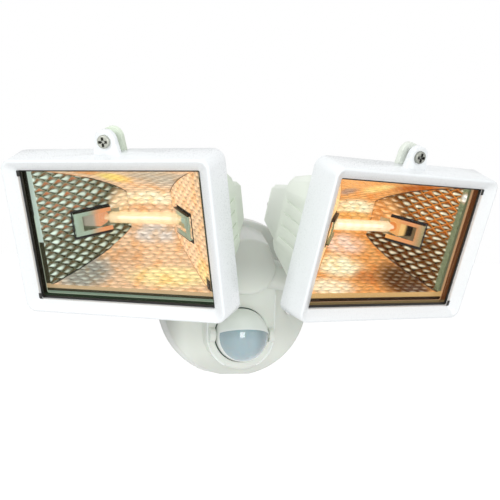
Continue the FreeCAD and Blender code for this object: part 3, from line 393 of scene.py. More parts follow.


# the cover is darker towards the top, where the heads shade the neck, towards its left edge under the left head, and a
# little towards its bottom and right edge: painted shade
coated("coverPlastic", (0.85, 0.88, 0.82), 0.30, 0.02, 1400, 0.03, 0.05, subsurface=0.08,
       fades=((2, 6, 36, 0.68), (0, -40, -59, 0.54), (2, -38, -56, 0.86), (0, 30, 50, 0.92)))
coated("platePlastic", (0.72, 0.72, 0.68), 0.5, 0.04, 700, 0.1)
coated("lipPlastic", (0.93, 0.96, 0.93), 0.25, 0.02, 1400, 0.03, 0.03, subsurface=0.05)
# the holder and the cap are of the cover's plastic: the holder's copy is darker, painted shade, and the cap's copy is
# lighter, painted light
coated("sensorPlastic", (0.76, 0.80, 0.75), 0.25, 0.02, 1400, 0.03, 0.05)
coated("capPlastic", (0.90, 0.95, 0.905), 0.25, 0.02, 1400, 0.03, 0.05)
# the lens is darker towards its right side and a little towards its left: painted shade
coated("lensPlastic", (0.37, 0.50, 0.545), 0.16, 0.05, 300, 0.02, 0.03, coat=1.0, coatRoughness=0.04,
       subsurface=0.25, fades=((0, 4, 16, 0.62), (0, -6, -18, 0.88)))
# the heads have one paint: the left head's copy is darker, painted shade, and the right head's copy lighter, painted
# light; the left paint grows lighter above 124 mm and the right paint below 90 mm, painted light
coated("leftPaint", (0.64, 0.715, 0.595), 0.38, 0.03, 1100, 0.16, 0.1, fades=((2, 114, 124, 1.35),))
coated("rightPaint", (0.82, 0.865, 0.79), 0.38, 0.03, 1100, 0.16, 0.1, fades=((2, 112, 90, 1.12),))
coated("bezelPaint", (0.88, 0.91, 0.925), 0.28, 0.015, 1300, 0.06, 0.06, coat=0.25)
# black rubber, also the colour of the black plates of painted shade round the brackets and in the slot
coated("blackRubber", (0.012, 0.012, 0.011), 0.55, 0.3, 800, 0.3)
coated("zincPlate", (0.66, 0.66, 0.64), 0.28, 0.2, 600, 0.1, 0.15, metallic=1.0)
coated("boardLaminate", (0.03, 0.20, 0.09), 0.35, 0.2, 500, 0.1)
coated("relayPlastic", (0.04, 0.10, 0.30), 0.3, 0.05, 900, 0.05)
coated("blockPlastic", (0.68, 0.68, 0.64), 0.45, 0.05, 700, 0.1)
coated("knobPlastic", (0.16, 0.16, 0.165), 0.45, 0.1, 900, 0.15)
coated("ceramic", (0.80, 0.77, 0.70), 0.35, 0.06, 700, 0.12)
coated("brass", (0.75, 0.55, 0.25), 0.3, 0.2, 500, 0.1, metallic=1.0)


def headSpace(tree, side):
    # Object coordinates turned into the head's own frame, in mm
    turned = node(tree, "Mapping", vector_type="TEXTURE")
    turn = (radians(heads["tilt"]), 0.0, radians(heads["yaw"][side]))
    put(tree, turned, {"Vector": objectPlace(tree), "Location": headMatrix(side).translation,
                       "Rotation": turn, "Scale": (mm, mm, mm)})
    return turned.outputs[0], axes(tree, turned.outputs[0])


# the reflector: two flat dimpled ends, two curved dimpled troughs and a flat back; lengths in mm
reflector = {
    "mouthHalf": 61.3, "mouthRise": 42.0, "mouthY": 13.5, "lift": 2.5,
    "backHalf": 17.0, "backRise": 13.5, "backY": 60.2,
    "cellLength": 4.7, "cellHeight": 3.3, "depth": 0.55, "wobble": 0.15, "hollow": 0.75, "sheet": 0.35,
    "endGrid": (72, 104), "troughGrid": (128, 60), "backGrid": (34, 22), "slices": 400, "fit": 0.993,
    "rimHalf": 70.6, "rimRise": 50.6, "cutOut": (34.5, 55.0, 5.7),
    "foldPoints": 16, "foldStart": 0.4, "foldEnd": 0.2, "foldRadius": 0.28,
}
mouthY, mouthHalf, backY, backHalf = (reflector[key] for key in ("mouthY", "mouthHalf", "backY", "backHalf"))
troughDepth = backY - mouthY


def halfAt(y):
    # half the inside's width at the depth y
    return mouthHalf + (backHalf - mouthHalf) * ((y - mouthY) / troughDepth)


def riseAt(y):
    # half the inside's height there, which follows a parabola
    part = (backY - y) / troughDepth
    back = reflector["backRise"]
    return math.sqrt(back * back + (reflector["mouthRise"] ** 2 - back * back) * part)


def dimple(a, b):
    # 0 on the ridges between the dimples, 1 in their middles; a and b run along and across the sheet
    p = (a / reflector["cellLength"] + b / reflector["cellHeight"]) / 2
    q = (a / reflector["cellLength"] - b / reflector["cellHeight"]) / 2
    # the sine of two large steps differs from cell to cell as if by chance
    uneven = 1.0 + reflector["wobble"] * (math.sin(12.9 * math.floor(p) + 78.2 * math.floor(q)) - 1.0)
    return uneven * (abs(math.sin(math.pi * p)) * abs(math.sin(math.pi * q))) ** reflector["hollow"]


def hammeredSheet(name, counts, spot):
    # spot(u, v) -> point, outward direction, along, across; the grid's corners run from 0 to 1
    bpy.ops.mesh.primitive_grid_add(x_subdivisions=counts[0], y_subdivisions=counts[1], size=1)
    obj = made(name)
    sheet = []
    for vertex in obj.data.vertices:
        point, away, a, b = spot(vertex.co.x + 0.5, vertex.co.y + 0.5)
        point.z += reflector["lift"]
        sheet += (a, b, 0.0)
        vertex.co = (point + away * dimple(a, b) * reflector["depth"]) * mm
    layer = obj.data.attributes.new("sheetPlace", "FLOAT_VECTOR", "POINT")
    layer.data.foreach_set("vector", sheet)
    return obj


def reflectorEnd(direction):
    fall = mouthHalf - backHalf
    length = math.hypot(troughDepth, fall)
    away = Vector((direction * troughDepth / length, fall / length, 0))

    def spot(u, v):
        y = mouthY + troughDepth * u
        z = riseAt(y) * (2 * v - 1) * reflector["fit"]
        return Vector((direction * halfAt(y), y, z)), away, length * u, z
    obj = hammeredSheet("end", reflector["endGrid"], spot)
    # the cut-out behind the bracket, through which the lamp's end passes
    low, high, half = (value * mm for value in reflector["cutOut"])
    editFaces(obj, lambda face: low < face.center.y < high and abs(face.center.z) < half)
    bpy.ops.mesh.delete(type="FACE")
    endEdit()
    return obj


def reflectorTrough(direction):
    # the lengths along the curve keep the dimples the same size all over it
    step = troughDepth / reflector["slices"]
    depths = [mouthY + step * n for n in range(reflector["slices"] + 1)]
    lengths = [0.0]
    for y0, y1 in zip(depths, depths[1:]):
        lengths.append(lengths[-1] + math.hypot(y1 - y0, riseAt(y1) - riseAt(y0)))

    def spot(u, v):
        wanted = v * lengths[-1]
        n = min(bisect.bisect_left(lengths, wanted, 1), reflector["slices"]) - 1
        y = depths[n] + step * (wanted - lengths[n]) / (lengths[n + 1] - lengths[n])
        x = halfAt(y) * (2 * u - 1) * reflector["fit"]
        near = 0.2
        slope = (riseAt(y + near) - riseAt(y - near)) / (2 * near)
        away = Vector((0, -slope, 1)).normalized()
        away.z *= direction
        return Vector((x, y, direction * riseAt(y))), away, x, wanted
    return hammeredSheet("trough", reflector["troughGrid"], spot)


def reflectorBack():
    def spot(u, v):
        x = backHalf * (2 * u - 1)
        z = reflector["backRise"] * (2 * v - 1)
        return Vector((x, backY, z)), Vector((0, 1, 0)), x, z
    return hammeredSheet("back", reflector["backGrid"], spot)


def reflectorRim():
    bpy.ops.mesh.primitive_plane_add(size=2)
    obj = made("rim")
    obj.rotation_euler = (radians(90), 0, 0)
    obj.scale = (reflector["rimHalf"] * mm, reflector["rimRise"] * mm, 1)
    obj.location = (0, mouthY * mm, 0)
    intoPlace(obj)
    editFaces(obj, lambda face: True)
    bpy.ops.mesh.inset(thickness=(reflector["rimHalf"] - mouthHalf) * mm)
    bpy.ops.transform.translate(value=(0, 0, reflector["lift"] * mm))
    bpy.ops.mesh.delete(type="FACE")
    endEdit()
    return obj


def faceTowards(obj, target):
    # turns the sheet's faces so that they look at the target point
    face = obj.data.polygons[len(obj.data.polygons) // 2]
    if face.normal.dot(Vector(target) * mm - face.center) < 0:
        editAll(obj)
        bpy.ops.mesh.flip_normals()
        endEdit()


# painted light on the sheets, in the head's own frame: zones of the lamp's painted glow with centre and reach in mm,
# colour, how lit; then how much the painted highlight facet widens and its least height, the dimples' colours of
# painted highlight, shade and lamp light, and from where the mouth's edge has a painted shade of its own
paintedLightZones = {
    "left": {
        "plain": (238, 200, 160),
        "trough": [
            ((-26, 24, 40), (14, 16, 9), (232, 165, 100), 1.0), ((-13, 40, 33), (15, 18, 12), (255, 224, 124), 1.0),
            ((20, 38, 33), (30, 34, 20), (204, 196, 182), 0.75), ((0, 60, 10), (24, 8, 9), (255, 240, 200), 1.0),
            ((0, 60, 4.5), (24, 5, 4), (234, 194, 154), 1.0), ((4, 57, -14), (26, 9, 9), (226, 216, 206), 0.9),
            ((-13, 42, -26), (16, 12, 9), (230, 188, 146), 1.0), ((26, 26, -34), (38, 13, 9), (255, 234, 170), 1.0),
            ((-40, 25, -33), (26, 22, 16), (208, 204, 192), 0.6),
        ],
        "end": [
            ((40, 36, 2), (60, 60, 110), (246, 208, 166), 1.0), ((52, 22, -30), (14, 16, 16), (248, 214, 150), 1.0),
            ((-20, 57, 8), (12, 12, 14), (250, 220, 176), 0.9),
            # a spot of painted shade round the slot, low at the mouth of the right end
            ((57.5, 17.0, -35.5), (4.4, 4.6, 7.5), (16, 12, 8), 0.1),
        ],
        "wedge": (0.36, 0.07), "halo": (168, 176, 156), "haloShare": 0.5, "margin": None,
        "white": (214, 232, 218), "middle": (76, 82, 60), "low": (38, 36, 18), "warm": (190, 120, 84),
        "warmZone": ((-52, 22, 24), (40, 40, 34)), "ridge": (150, 160, 132), "ridgeGlint": 0.4,
    },
    "right": {
        "plain": (236, 168, 98),
        "trough": [
            ((0, 41, 31), (14, 18, 12), (246, 226, 150), 1.0), ((-19, 51, 25), (9, 10, 8), (188, 152, 132), 0.8),
            ((30, 32, 36), (24, 22, 14), (190, 98, 22), 1.0), ((0, 60, 10), (24, 8, 8), (255, 242, 200), 1.0),
            ((0, 60, 4), (24, 5, 4), (238, 184, 112), 1.0), ((-8, 54, -17), (24, 12, 10), (246, 214, 190), 1.0),
            ((-20, 38, -28), (26, 14, 11), (255, 250, 212), 1.0), ((0, 29, -33), (15, 9, 7), (208, 138, 78), 1.0),
            ((-38, 20, -37), (26, 12, 9), (255, 240, 204), 1.0), ((34, 25, -34), (30, 24, 17), (126, 78, 34), 0.5),
            ((40, 17, -38), (16, 7, 6), (152, 116, 96), 0.4),
        ],
        "end": [
            ((-40, 36, 2), (60, 60, 110), (255, 214, 150), 1.0), ((22, 54, 9), (18, 18, 16), (250, 180, 110), 0.75),
            # a spot of painted highlight high at the mouth of the right end
            ((60.5, 14.5, 36), (3.5, 4, 5), (252, 250, 240), 0.8),
        ],
        "wedge": (0.10, 0.17), "halo": (136, 118, 84), "haloShare": 0.75, "margin": (58.6, (112, 118, 88)),
        "white": (212, 202, 174), "middle": (84, 50, 18), "low": (40, 20, 5), "warm": (184, 96, 36),
        "warmZone": ((50, 26, 26), (30, 34, 32)), "ridge": (226, 138, 60), "ridgeGlint": 0.8,
    },
}
# how light and shade are painted on a dimple: places in shares of its cell; a pair is a mask's limit and its softness,
# or slope and start
dimpleLook = {
    "warpScale": 0.16, "warpReach": (2.6, 2.0, 0.0), "facetUp": 0.20, "facetSide": 0.02, "wedgeFrom": 0.55,
    "facet": (1.12, 0.5), "halo": (1.7, 0.9), "over": (0.28, 0.3), "under": (0.36, 0.22), "ridge": (0.86, 0.12),
    "sizeChance": 0.4, "warmChance": (0.9, 0.25), "warmShare": (0.75, 0.15), "dullChance": 0.35,
    "marginSoft": 0.4, "litFacet": 0.34, "litHollow": -0.30,
    "streakStretch": (0.22, 1.1, 1.0), "streakDepth": 0.9,
    "cloudScale": 0.11, "cloud": (0.56, 0.1), "cloudShare": 0.75, "cloudTint": (1.0, 0.78, 0.56, 1.0),
    "body": (0.85, 0.65), "glow": (0.68, 0.30), "fineScale": 1.4, "roughness": (0.16, 0.22),
    "bump": (0.25, 0.0002),
}


def paintedLightSheet(name, side, kind):
    # dimpled aluminium with painted light: painted highlights on the facets, painted shade in the hollows, and the
    # lamp's light painted and glowing over them
    tree, shader = newMaterial(name)
    vector, xyz = headSpace(tree, side)
    zones, look = paintedLightZones[side], dimpleLook
    sheet = node(tree, "Attribute", attribute_name="sheetPlace").outputs["Vector"]
    warp = noise(tree, sheet, look["warpScale"], 1.0)["Color"]
    shift = vectorCalc(tree, "MULTIPLY_ADD", warp, look["warpReach"], sheet)[0]
    cells = useGroup(tree, latticeGroup, Place=shift, Length=reflector["cellLength"],
                     Height=reflector["cellHeight"])
    up, chance = cells["Up"], cells["Chance"]
    # the painted highlight facet is a low wedge that widens towards the lamp
    wedge, narrow = zones["wedge"]
    widen = line(tree, plus(tree, cells["Side"], look["wedgeFrom"]), wedge, narrow, clamp=True)
    tall = calc(tree, "DIVIDE", absolute(tree, plus(tree, up, look["facetUp"])), widen)
    wide = times(tree, absolute(tree, plus(tree, cells["Side"], look["facetSide"])), 2.0)
    rounded = calc(tree, "SQRT", plus(tree, times(tree, tall, tall), times(tree, wide, wide)))
    facet = plus(tree, rounded, times(tree, chance, look["sizeChance"]))
    paintedHighlight = below(tree, facet, *look["facet"])
    halo = below(tree, facet, *look["halo"])
    over = above(tree, up, *look["over"])
    under = above(tree, times(tree, up, -1.0), *look["under"])
    ridge = above(tree, cells["Ridge"], *look["ridge"])
    # where no lamp light falls: painted shade below the facets, painted warm lamp light in the hollows near the lamp, a
    # painted glint on the ridges, then the painted highlights on the facets
    centre, reach = zones["warmZone"]
    warmZone = useGroup(tree, blobGroup, Place=vector, Centre=centre, Reach=reach)[0]
    paintedWarmLight = times(tree, line(tree, warmZone, *look["warmShare"]), over)
    paintedWarmLight = times(tree, paintedWarmLight, line(tree, chance, *look["warmChance"], clamp=True))
    glint = times(tree, times(tree, ridge, warmZone), zones["ridgeGlint"])
    dull = minus(tree, 1.0, times(tree, chance, look["dullChance"]))
    unlit = tone(zones["middle"])
    for mask, color in ((under, "low"), (paintedWarmLight, "warm"), (glint, "ridge"),
                        (times(tree, halo, zones["haloShare"]), "halo"), (times(tree, paintedHighlight, dull), "white")):
        unlit = mixColors(tree, mask, unlit, tone(zones[color]))
    # a painted shade along the end's edge at the mouth, where the side has one
    if kind == "end" and zones["margin"]:
        limit, shade = zones["margin"]
        unlit = mixColors(tree, above(tree, absolute(tree, xyz[0]), limit, look["marginSoft"]), unlit, tone(shade))
    # where the lamp shines: its painted light in zones of colour, with clouds, streaks and a painted hint of the
    # facets' highlights and the hollows' shade
    lit = tone(zones["plain"])
    howLit = 1.0 if kind == "trough" else 0.0
    for centre, reach, color, share in zones[kind]:
        mask = useGroup(tree, blobGroup, Place=vector, Centre=centre, Reach=reach)[0]
        lit = mixColors(tree, mask, lit, tone(color))
        howLit = mixNumbers(tree, mask, howLit, share)
    hollow = times(tree, plus(tree, times(tree, over, 0.5), under), look["litHollow"])
    facets = plus(tree, times(tree, paintedHighlight, look["litFacet"]), hollow)
    streaks = noise(tree, vectorCalc(tree, "MULTIPLY", sheet, look["streakStretch"])[0], 1.0, 2.0)[0]
    clouds = above(tree, noise(tree, vector, look["cloudScale"], 3.0)[0], *look["cloud"])
    deeper = mixColors(tree, 1.0, lit, look["cloudTint"], "MULTIPLY")
    lit = mixColors(tree, times(tree, clouds, look["cloudShare"]), lit, deeper)
    facets = plus(tree, facets, times(tree, minus(tree, streaks, 0.5), look["streakDepth"]))
    color = mixColors(tree, howLit, unlit, scaled(tree, lit, plus(tree, 1.0, facets)))
    # a place painted as lit glows, its painted light given as emission, and reflects less
    most, loss = look["body"]
    body = scaled(tree, color, minus(tree, most, times(tree, howLit, loss)))
    light = scaled(tree, color, line(tree, howLit, *look["glow"]))
    fine = noise(tree, vector, look["fineScale"], 3.0)[0]
    put(tree, shader, {"Base Color": body, "Metallic": 1.0, "Roughness": line(tree, fine, *look["roughness"]),
                       "Normal": bumped(tree, fine, *look["bump"]), "Emission Color": light, "Emission Strength": 1.0})


def makeReflector(side):
    ends = [reflectorEnd(-1), reflectorEnd(1)]
    troughs = [reflectorTrough(-1), reflectorTrough(1), reflectorBack()]
    rim = reflectorRim()
    paintedLightSheet(side + "EndSheet", side, "end")
    paintedLightSheet(side + "TroughSheet", side, "trough")
    for sheet in ends + troughs:
        faceTowards(sheet, (0, 30, 0))
        paint(sheet, side + ("EndSheet" if sheet in ends else "TroughSheet"))
        smooth(sheet, 60)
    faceTowards(rim, (0, -100, 0))
    paint(rim, side + "Rim")
    obj = joinAll(ends + troughs + [rim], side + "ReflectorSheet")
    giveWall(obj, reflector["sheet"])
    intoPlace(obj, side)
    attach(obj, side + "_head")
    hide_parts(side + "_reflector")


def makeFolds(side):
    # the folds where the reflector's sheets meet
    start = mouthY + reflector["foldStart"]
    run = backY - reflector["foldEnd"] - start
    depths = [start + run * n / (reflector["foldPoints"] - 1) for n in range(reflector["foldPoints"])]
    folds = []
    for sx in (-1, 1):
        for sz in (-1, 1):
            places = [(sx * halfAt(y), y, sz * riseAt(y) + reflector["lift"]) for y in depths]
            folds.append(rod("fold", places, reflector["foldRadius"], 1))
    obj = joinAll(folds, side + "ReflectorFolds")
    paint(obj, side + "Fold")
    intoPlace(obj, side)
    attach(obj, side + "_head")


# small black parts: the gasket's corner tabs, and black plates of painted shade in the gaps round the brackets and in
# the left reflector's slot; body, whether at both ends, then each block's place in mm, turn in degrees and size
endTurn = 46.5  # between the head's width and the reflector's ends
blackBlocks = {
    "GasketTabs": ("front", False, [((66.3, 4.9, z), 0, (3.9, 0.3, 4.2)) for z in (44.3, -44.3)]),
    "BracketGap": ("head", True, [
        ((36.0, 39.2, 9.5), endTurn, (27.4, 0.5, 1.4)), ((36.0, 39.2, -9.8), endTurn, (27.4, 0.5, 2.0)),
        ((45.4, 29.2, -0.3), endTurn, (0.9, 0.5, 20.8))]),
    "Slot": ("head", False, [((-59.3, 15.1, -34.0), endTurn, (5.0, 0.5, 7.0))]),
}


def makeBlocks(side, name):
    body, bothEnds, blocks = blackBlocks[name]
    outward = -1 if side == "left" else 1
    parts = []
    for direction in (outward, -outward) if bothEnds else (outward,):
        for (x, y, z), turn, sizes in blocks:
            turn = radians(turn if direction * x < 0 else -turn)
            bpy.ops.mesh.primitive_cube_add(
                size=1, location=(direction * x * mm, y * mm, z * mm), rotation=(0, 0, turn))
            block = made("block")
            block.scale = [length * mm for length in sizes]
            intoPlace(block)
            parts.append(block)
    obj = joinAll(parts, side + name)
    edges = obj.modifiers.new("edges", "BEVEL")
    edges.width = 0.1 * mm
    applyAll(obj)
    paint(obj, "blackRubber")
    intoPlace(obj, side)
    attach(obj, side + "_" + body)


# the double-ended lamp, in mm; a step has its length, and its depth and height as shares of the step before
lamp = {
    "y": 49.5, "radius": 4.2, "glassHalf": 30.0, "pinchHalf": 25.5, "wall": 0.8,
    "pinchSteps": ((1.2, 0.85, 0.8), (1.0, 0.9, 0.55), (2.3, 1.0, 1.0)),
    "coilRadius": 0.9, "coilHalf": 21.5, "coilPitch": 0.95, "coilSteps": 10, "wire": 0.2, "wireSides": 6,
    "supports": (-17.0, -8.5, 0.0, 8.5, 17.0), "supportRadius": 2.9, "supportWire": 0.16,
    "leadRadius": 0.35, "leadLength": 6.4,
    "endRadius": 3.5, "capFoot": 3.0, "groove": 0.84,
    "capSteps": ((3.2, 1.0), (0.9, 0.8), (0.7, 0.6)), "grooveWidth": 1.2,
}


def makeTube(side):
    obj = bar(side + "LampGlass", 32, lamp["radius"], 2 * lamp["pinchHalf"])
    for direction in (-1, 1):
        # the tube narrows and ends in a flat pinch that goes into the ceramic
        for step, deep, tall in lamp["pinchSteps"]:
            extrudeEnd(obj, direction, step, (1, deep, tall))
    obj.location = (0, lamp["y"] * mm, 0)
    intoPlace(obj)
    giveWall(obj, lamp["wall"])
    smooth(obj, 40)
    paint(obj, side + "LampGlass")
    intoPlace(obj, side)
    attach(obj, side + "_head")
    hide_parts(side + "_lamp_tube")


def makeFilament(side):
    bpy.ops.mesh.primitive_circle_add(
        vertices=lamp["wireSides"], radius=lamp["wire"] * mm, rotation=(radians(90), 0, 0),
        location=(-lamp["coilHalf"] * mm, 0, lamp["coilRadius"] * mm))
    coil = made("coil")
    intoPlace(coil)
    turns = coil.modifiers.new("turns", "SCREW")
    turns.axis = "X"
    turns.angle = radians(360)
    turns.screw_offset = lamp["coilPitch"] * mm
    turns.iterations = int(2 * lamp["coilHalf"] / lamp["coilPitch"])
    turns.steps = turns.render_steps = lamp["coilSteps"]
    applyAll(coil)
    parts = [coil]
    for x in lamp["supports"]:
        bpy.ops.mesh.primitive_torus_add(
            major_radius=lamp["supportRadius"] * mm, major_segments=20, minor_radius=lamp["supportWire"] * mm,
            minor_segments=6, rotation=(0, radians(90), 0), location=(x * mm, 0, 0))
        ring = made("support")
        intoPlace(ring)
        parts.append(ring)
    for direction in (-1, 1):
        middle = direction * (lamp["coilHalf"] + lamp["leadLength"] / 2)
        parts.append(bar("lead", 10, lamp["leadRadius"], lamp["leadLength"], middle))
    for part in parts:
        paint(part, "filamentGlow" if part is coil else "filamentWire")
    obj = joinAll(parts, side + "LampFilament")
    faceOutwards(obj)
    obj.location = (0, lamp["y"] * mm, 0)
    smooth(obj, 60)
    intoPlace(obj, side)
    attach(obj, side + "_head")
    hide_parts(side + "_lamp_filament")


def makeLampEnds(side):
    # glazed ceramic caps with a turned groove and a rounded contact end
    parts = []
    groove = ((0.0, lamp["groove"]), (lamp["grooveWidth"], 1.0), (0.0, 1 / lamp["groove"]))
    for direction in (-1, 1):
        x = direction * (lamp["glassHalf"] + lamp["capFoot"] / 2)
        cap = bar("cap", 28, lamp["endRadius"], lamp["capFoot"], x, lamp["y"])
        for step, share in groove + lamp["capSteps"]:
            extrudeEnd(cap, direction, step, (1, share, share), (x * mm, lamp["y"] * mm, 0))
        parts.append(cap)
    obj = joinAll(parts, side + "LampEnds")
    faceOutwards(obj)
    smooth(obj, 40)
    paint(obj, side + "Ceramic")
    intoPlace(obj, side)
    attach(obj, side + "_head")
    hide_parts(side + "_lamp_ends")


# the segmented lens of the sensor, with the white lip around it and the brow over it; lengths in mm from the
# ball's centre, where rise is the slope of the lens's upper edge
lens = {
    "centre": (0.0, -40.0, -24.0), "segments": 144, "rings": 96, "rise": 0.33, "top": 2.4, "front": -8.0,
    "lensRadius": 20.98, "lensWall": 1.3, "overlap": 0.05,
    "columns": 9, "spread": 160.0, "rowHeight": 6.2, "rowShift": 0.12, "bulge": 0.2,
    "lipRadius": 20.8, "lipBack": -3.9, "lipWall": 1.5,
    "browRadius": 21.3, "brow": 1.7, "browBack": 1.0, "browWall": 0.8,
}


def ballPiece(name, radius, cuts, wall, bulge=0.0):
    # a shell of the ball that lies behind every cut: place and outward direction in mm from the ball's middle
    bpy.ops.mesh.primitive_uv_sphere_add(segments=lens["segments"], ring_count=lens["rings"], radius=radius * mm)
    obj = made(name)
    for vertex in obj.data.vertices:
        # each segment stands a little proud in its middle
        column = math.degrees(math.atan2(vertex.co.x, -vertex.co.y)) / (lens["spread"] / lens["columns"])
        row = vertex.co.z / mm / lens["rowHeight"] + lens["rowShift"]
        swell = abs(math.cos(math.pi * column)) * abs(math.cos(math.pi * row))
        vertex.co += vertex.co.normalized() * (swell ** 0.5 - 1.0) * bulge * mm
    for place, normal in cuts:
        editAll(obj)
        bpy.ops.mesh.bisect(plane_co=Vector(place) * mm, plane_no=normal, clear_outer=True)
        endEdit()
    obj.location = Vector(lens["centre"]) * mm
    intoPlace(obj)
    giveWall(obj, wall)
    smooth(obj, 25)
    return obj


def makeLens():
    up = Vector((0, lens["rise"], 1)).normalized()
    corner = Vector((0, lens["front"], lens["top"]))
    cuts = ((corner, up), ((0, lens["front"] - lens["overlap"], 0), (0, 1, 0)))
    obj = ballPiece("sensorLensShell", lens["lensRadius"], cuts, lens["lensWall"], lens["bulge"])
    paint(obj, "lensPlastic")
    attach(obj, "sensor")
    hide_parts("sensor_lens")
    cuts = (((0, 0, lens["top"]), (0, 0, 1)), ((0, lens["front"], 0), (0, -1, 0)),
            ((0, lens["lipBack"], 0), (0, 1, 0)))
    lip = ballPiece("lip", lens["lipRadius"], cuts, lens["lipWall"])
    cuts = ((corner, -up), (corner + up * lens["brow"], up),
            ((0, lens["front"] + lens["browBack"], 0), (0, 1, 0)))
    brow = ballPiece("brow", lens["browRadius"], cuts, lens["browWall"])
    surround = joinAll([lip, brow], "sensorLipAndBrow")
    paint(surround, "lipPlastic")
    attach(surround, "sensor")


# the raised bead along the face's edge around the sensor, in the lighter lip plastic: a painted highlight of that edge,
# which the lamps light as well
bead = {"y": -37.5, "half": 26.8, "top": 8.0, "centre": -24.0, "angle": 62, "steps": 16, "radius": 0.95}


def makeBead():
    half, y = bead["half"], bead["y"]
    sides = []
    for direction in (-1, 1):
        places = [(direction * half, y, bead["top"])]
        for n in range(bead["steps"] + 1):
            angle = radians(bead["angle"] * n / bead["steps"])
            places.append((direction * half * math.cos(angle), y, bead["centre"] - half * math.sin(angle)))
        sides.append(rod("bead", places, bead["radius"], 2, caps=True))
    obj = joinAll(sides, "baseBead")
    paint(obj, "lipPlastic")
    smooth(obj, 60)
    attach(obj, "base")


# solids that keep their shape and get soft edges: width of the edge in mm, finish, body, slot
softPieces = {
    "base_cover": (0.45, "coverPlastic", "base", "cover_plastic"),
    "sensor_cap": (0.35, "capPlastic", "sensor", "cover_plastic"),
    "sensor_holder": (0.3, "sensorPlastic", "sensor", "cover_plastic"),
    "bezel": (0.7, "bezelPaint", "front", "bezel_paint"),
    "housing": (0.6, "Paint", "head", "head_paint"),
    "rear_cover": (0.5, "Paint", "head", "head_paint"),
    "lamp_brackets": (0.18, "Bracket", "head", "bracket_steel"),
    "bezel_screw": (0.15, "Screw", "front", "plated_steel"),
    "bezel_nut": (0.25, "zincPlate", "head", "plated_steel"),
    "tilt_bolt": (0.3, "zincPlate", "head", "plated_steel"),
    "tilt_nut": (0.3, "zincPlate", "head", "plated_steel"),
    "pan_knuckle": (0.5, "Paint", "swivel", "head_paint"),
}
softEdge = {"segments": 2, "sharperThan": 32, "flatWithin": 1.5, "smoothUnder": 30}
plainLooks = {
    "wall_plate": "platePlastic", "cable_grommet": "blackRubber", "cover_screws": "zincPlate",
    "circuit_board": "boardLaminate", "relay": "relayPlastic", "terminal_block": "blockPlastic",
    "trimmers": "blockPlastic", "sensor_board": "boardLaminate", "pyro_element": "zincPlate",
    "time_knob": "knobPlastic", "dusk_knob": "knobPlastic", "pan_bolt": "zincPlate",
    "rear_cover_screws": "zincPlate", "hinge_pins": "zincPlate", "lamp_holders": "Ceramic",
    "lamp_contacts": "brass", "lead_terminal": "ceramic", "glass_pane": "frontGlass",
    "glass_gasket": "Gasket",
}


def softCopy(solid, name, width):
    # a copy of a solid with merged corners, clean faces and soft edges
    obj = newObject(name, nodes[solid].data.copy())
    mergeCorners(obj)
    bpy.ops.mesh.dissolve_limited(angle_limit=radians(softEdge["flatWithin"]))
    endEdit()
    obj.data.materials.clear()
    bevel = obj.modifiers.new("edges", "BEVEL")
    bevel.width = width * mm
    bevel.segments = softEdge["segments"]
    bevel.limit_method = "ANGLE"
    bevel.angle_limit = radians(softEdge["sharperThan"])
    bevel.miter_outer = "MITER_ARC"
    applyAll(obj)
    smooth(obj, softEdge["smoothUnder"])
    return obj


def softenSolids():
    for short, (width, look, body, slot) in softPieces.items():
        for side in ("",) if short in nodes else ("left_", "right_"):
            words = (side + short).split("_")
            obj = softCopy(side + short, words[0] + "".join(word.title() for word in words[1:]) + "Soft", width)
            paint(obj, look if look in looks else side[:-1] + look)
            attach(obj, side + body)
            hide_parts(side + short)


def dressSolids():
    for name, obj in nodes.items():
        short = name.replace("left_", "").replace("right_", "")
        look = plainLooks.get(short) or (softPieces[short][1] if short in softPieces else None)
        if look and look not in looks:
            look = name.split("_")[0] + look
        if look:
            obj.data.materials.clear()
            paint(obj, look)


# the camera's place in metres, its turns in degrees and its focal length in mm
view = {"place": (-0.1544, -0.6924, 0.0520), "heading": 13.7, "pitch": 0.795, "roll": 1.719, "lens": 61.78}


def makeCamera():
    camera = newObject("camera", bpy.data.cameras.new("camera"))
    roll, pitch, heading = (
        Matrix.Rotation(radians(view[key]), 3, axis)
        for key, axis in (("roll", "Y"), ("pitch", "X"), ("heading", "Z")))
    right, forward, up = roll @ pitch @ heading
    matrix = Matrix((right, up, -forward)).transposed().to_4x4()
    matrix.translation = Vector(view["place"])
    camera.matrix_world = matrix
    camera.data.lens = view["lens"]
    camera.data.clip_start = 0.01
    scene.camera = camera


# lights and floor, in metres and watts
studio = {
    "centre": (0.0, -0.08, 0.0),
    "lamps": {
        # name: azimuth from the wall's front, elevation, distance, width, height, power
        "leftWindow": (-54.5, 17.0, 1.5, 0.34, 0.44, 4.3),
        "rightWindow": (29.5, 17.0, 1.5, 0.34, 0.44, 3.2),
        "front": (-12.0, 6.0, 1.6, 0.5, 0.5, 5.1),
        "top": (-12.5, 68.0, 1.6, 1.4, 1.4, 5.5),
    },
    "world": 0.57, "floorHeight": -0.25, "floorSize": 16, "floorBack": 3, "floorGrey": (0.79, 0.80), "floorGlow": 0.58,
}


def seenOnly(tree, share):
    # share for what is seen, also in gloss and through glass, and 0 for the light that falls on the object
    path = node(tree, "LightPath").outputs
    seen = calc(tree, "MAXIMUM", path["Is Camera Ray"], path["Is Glossy Ray"])
    return times(tree, calc(tree, "MAXIMUM", seen, path["Is Transmission Ray"]), share)


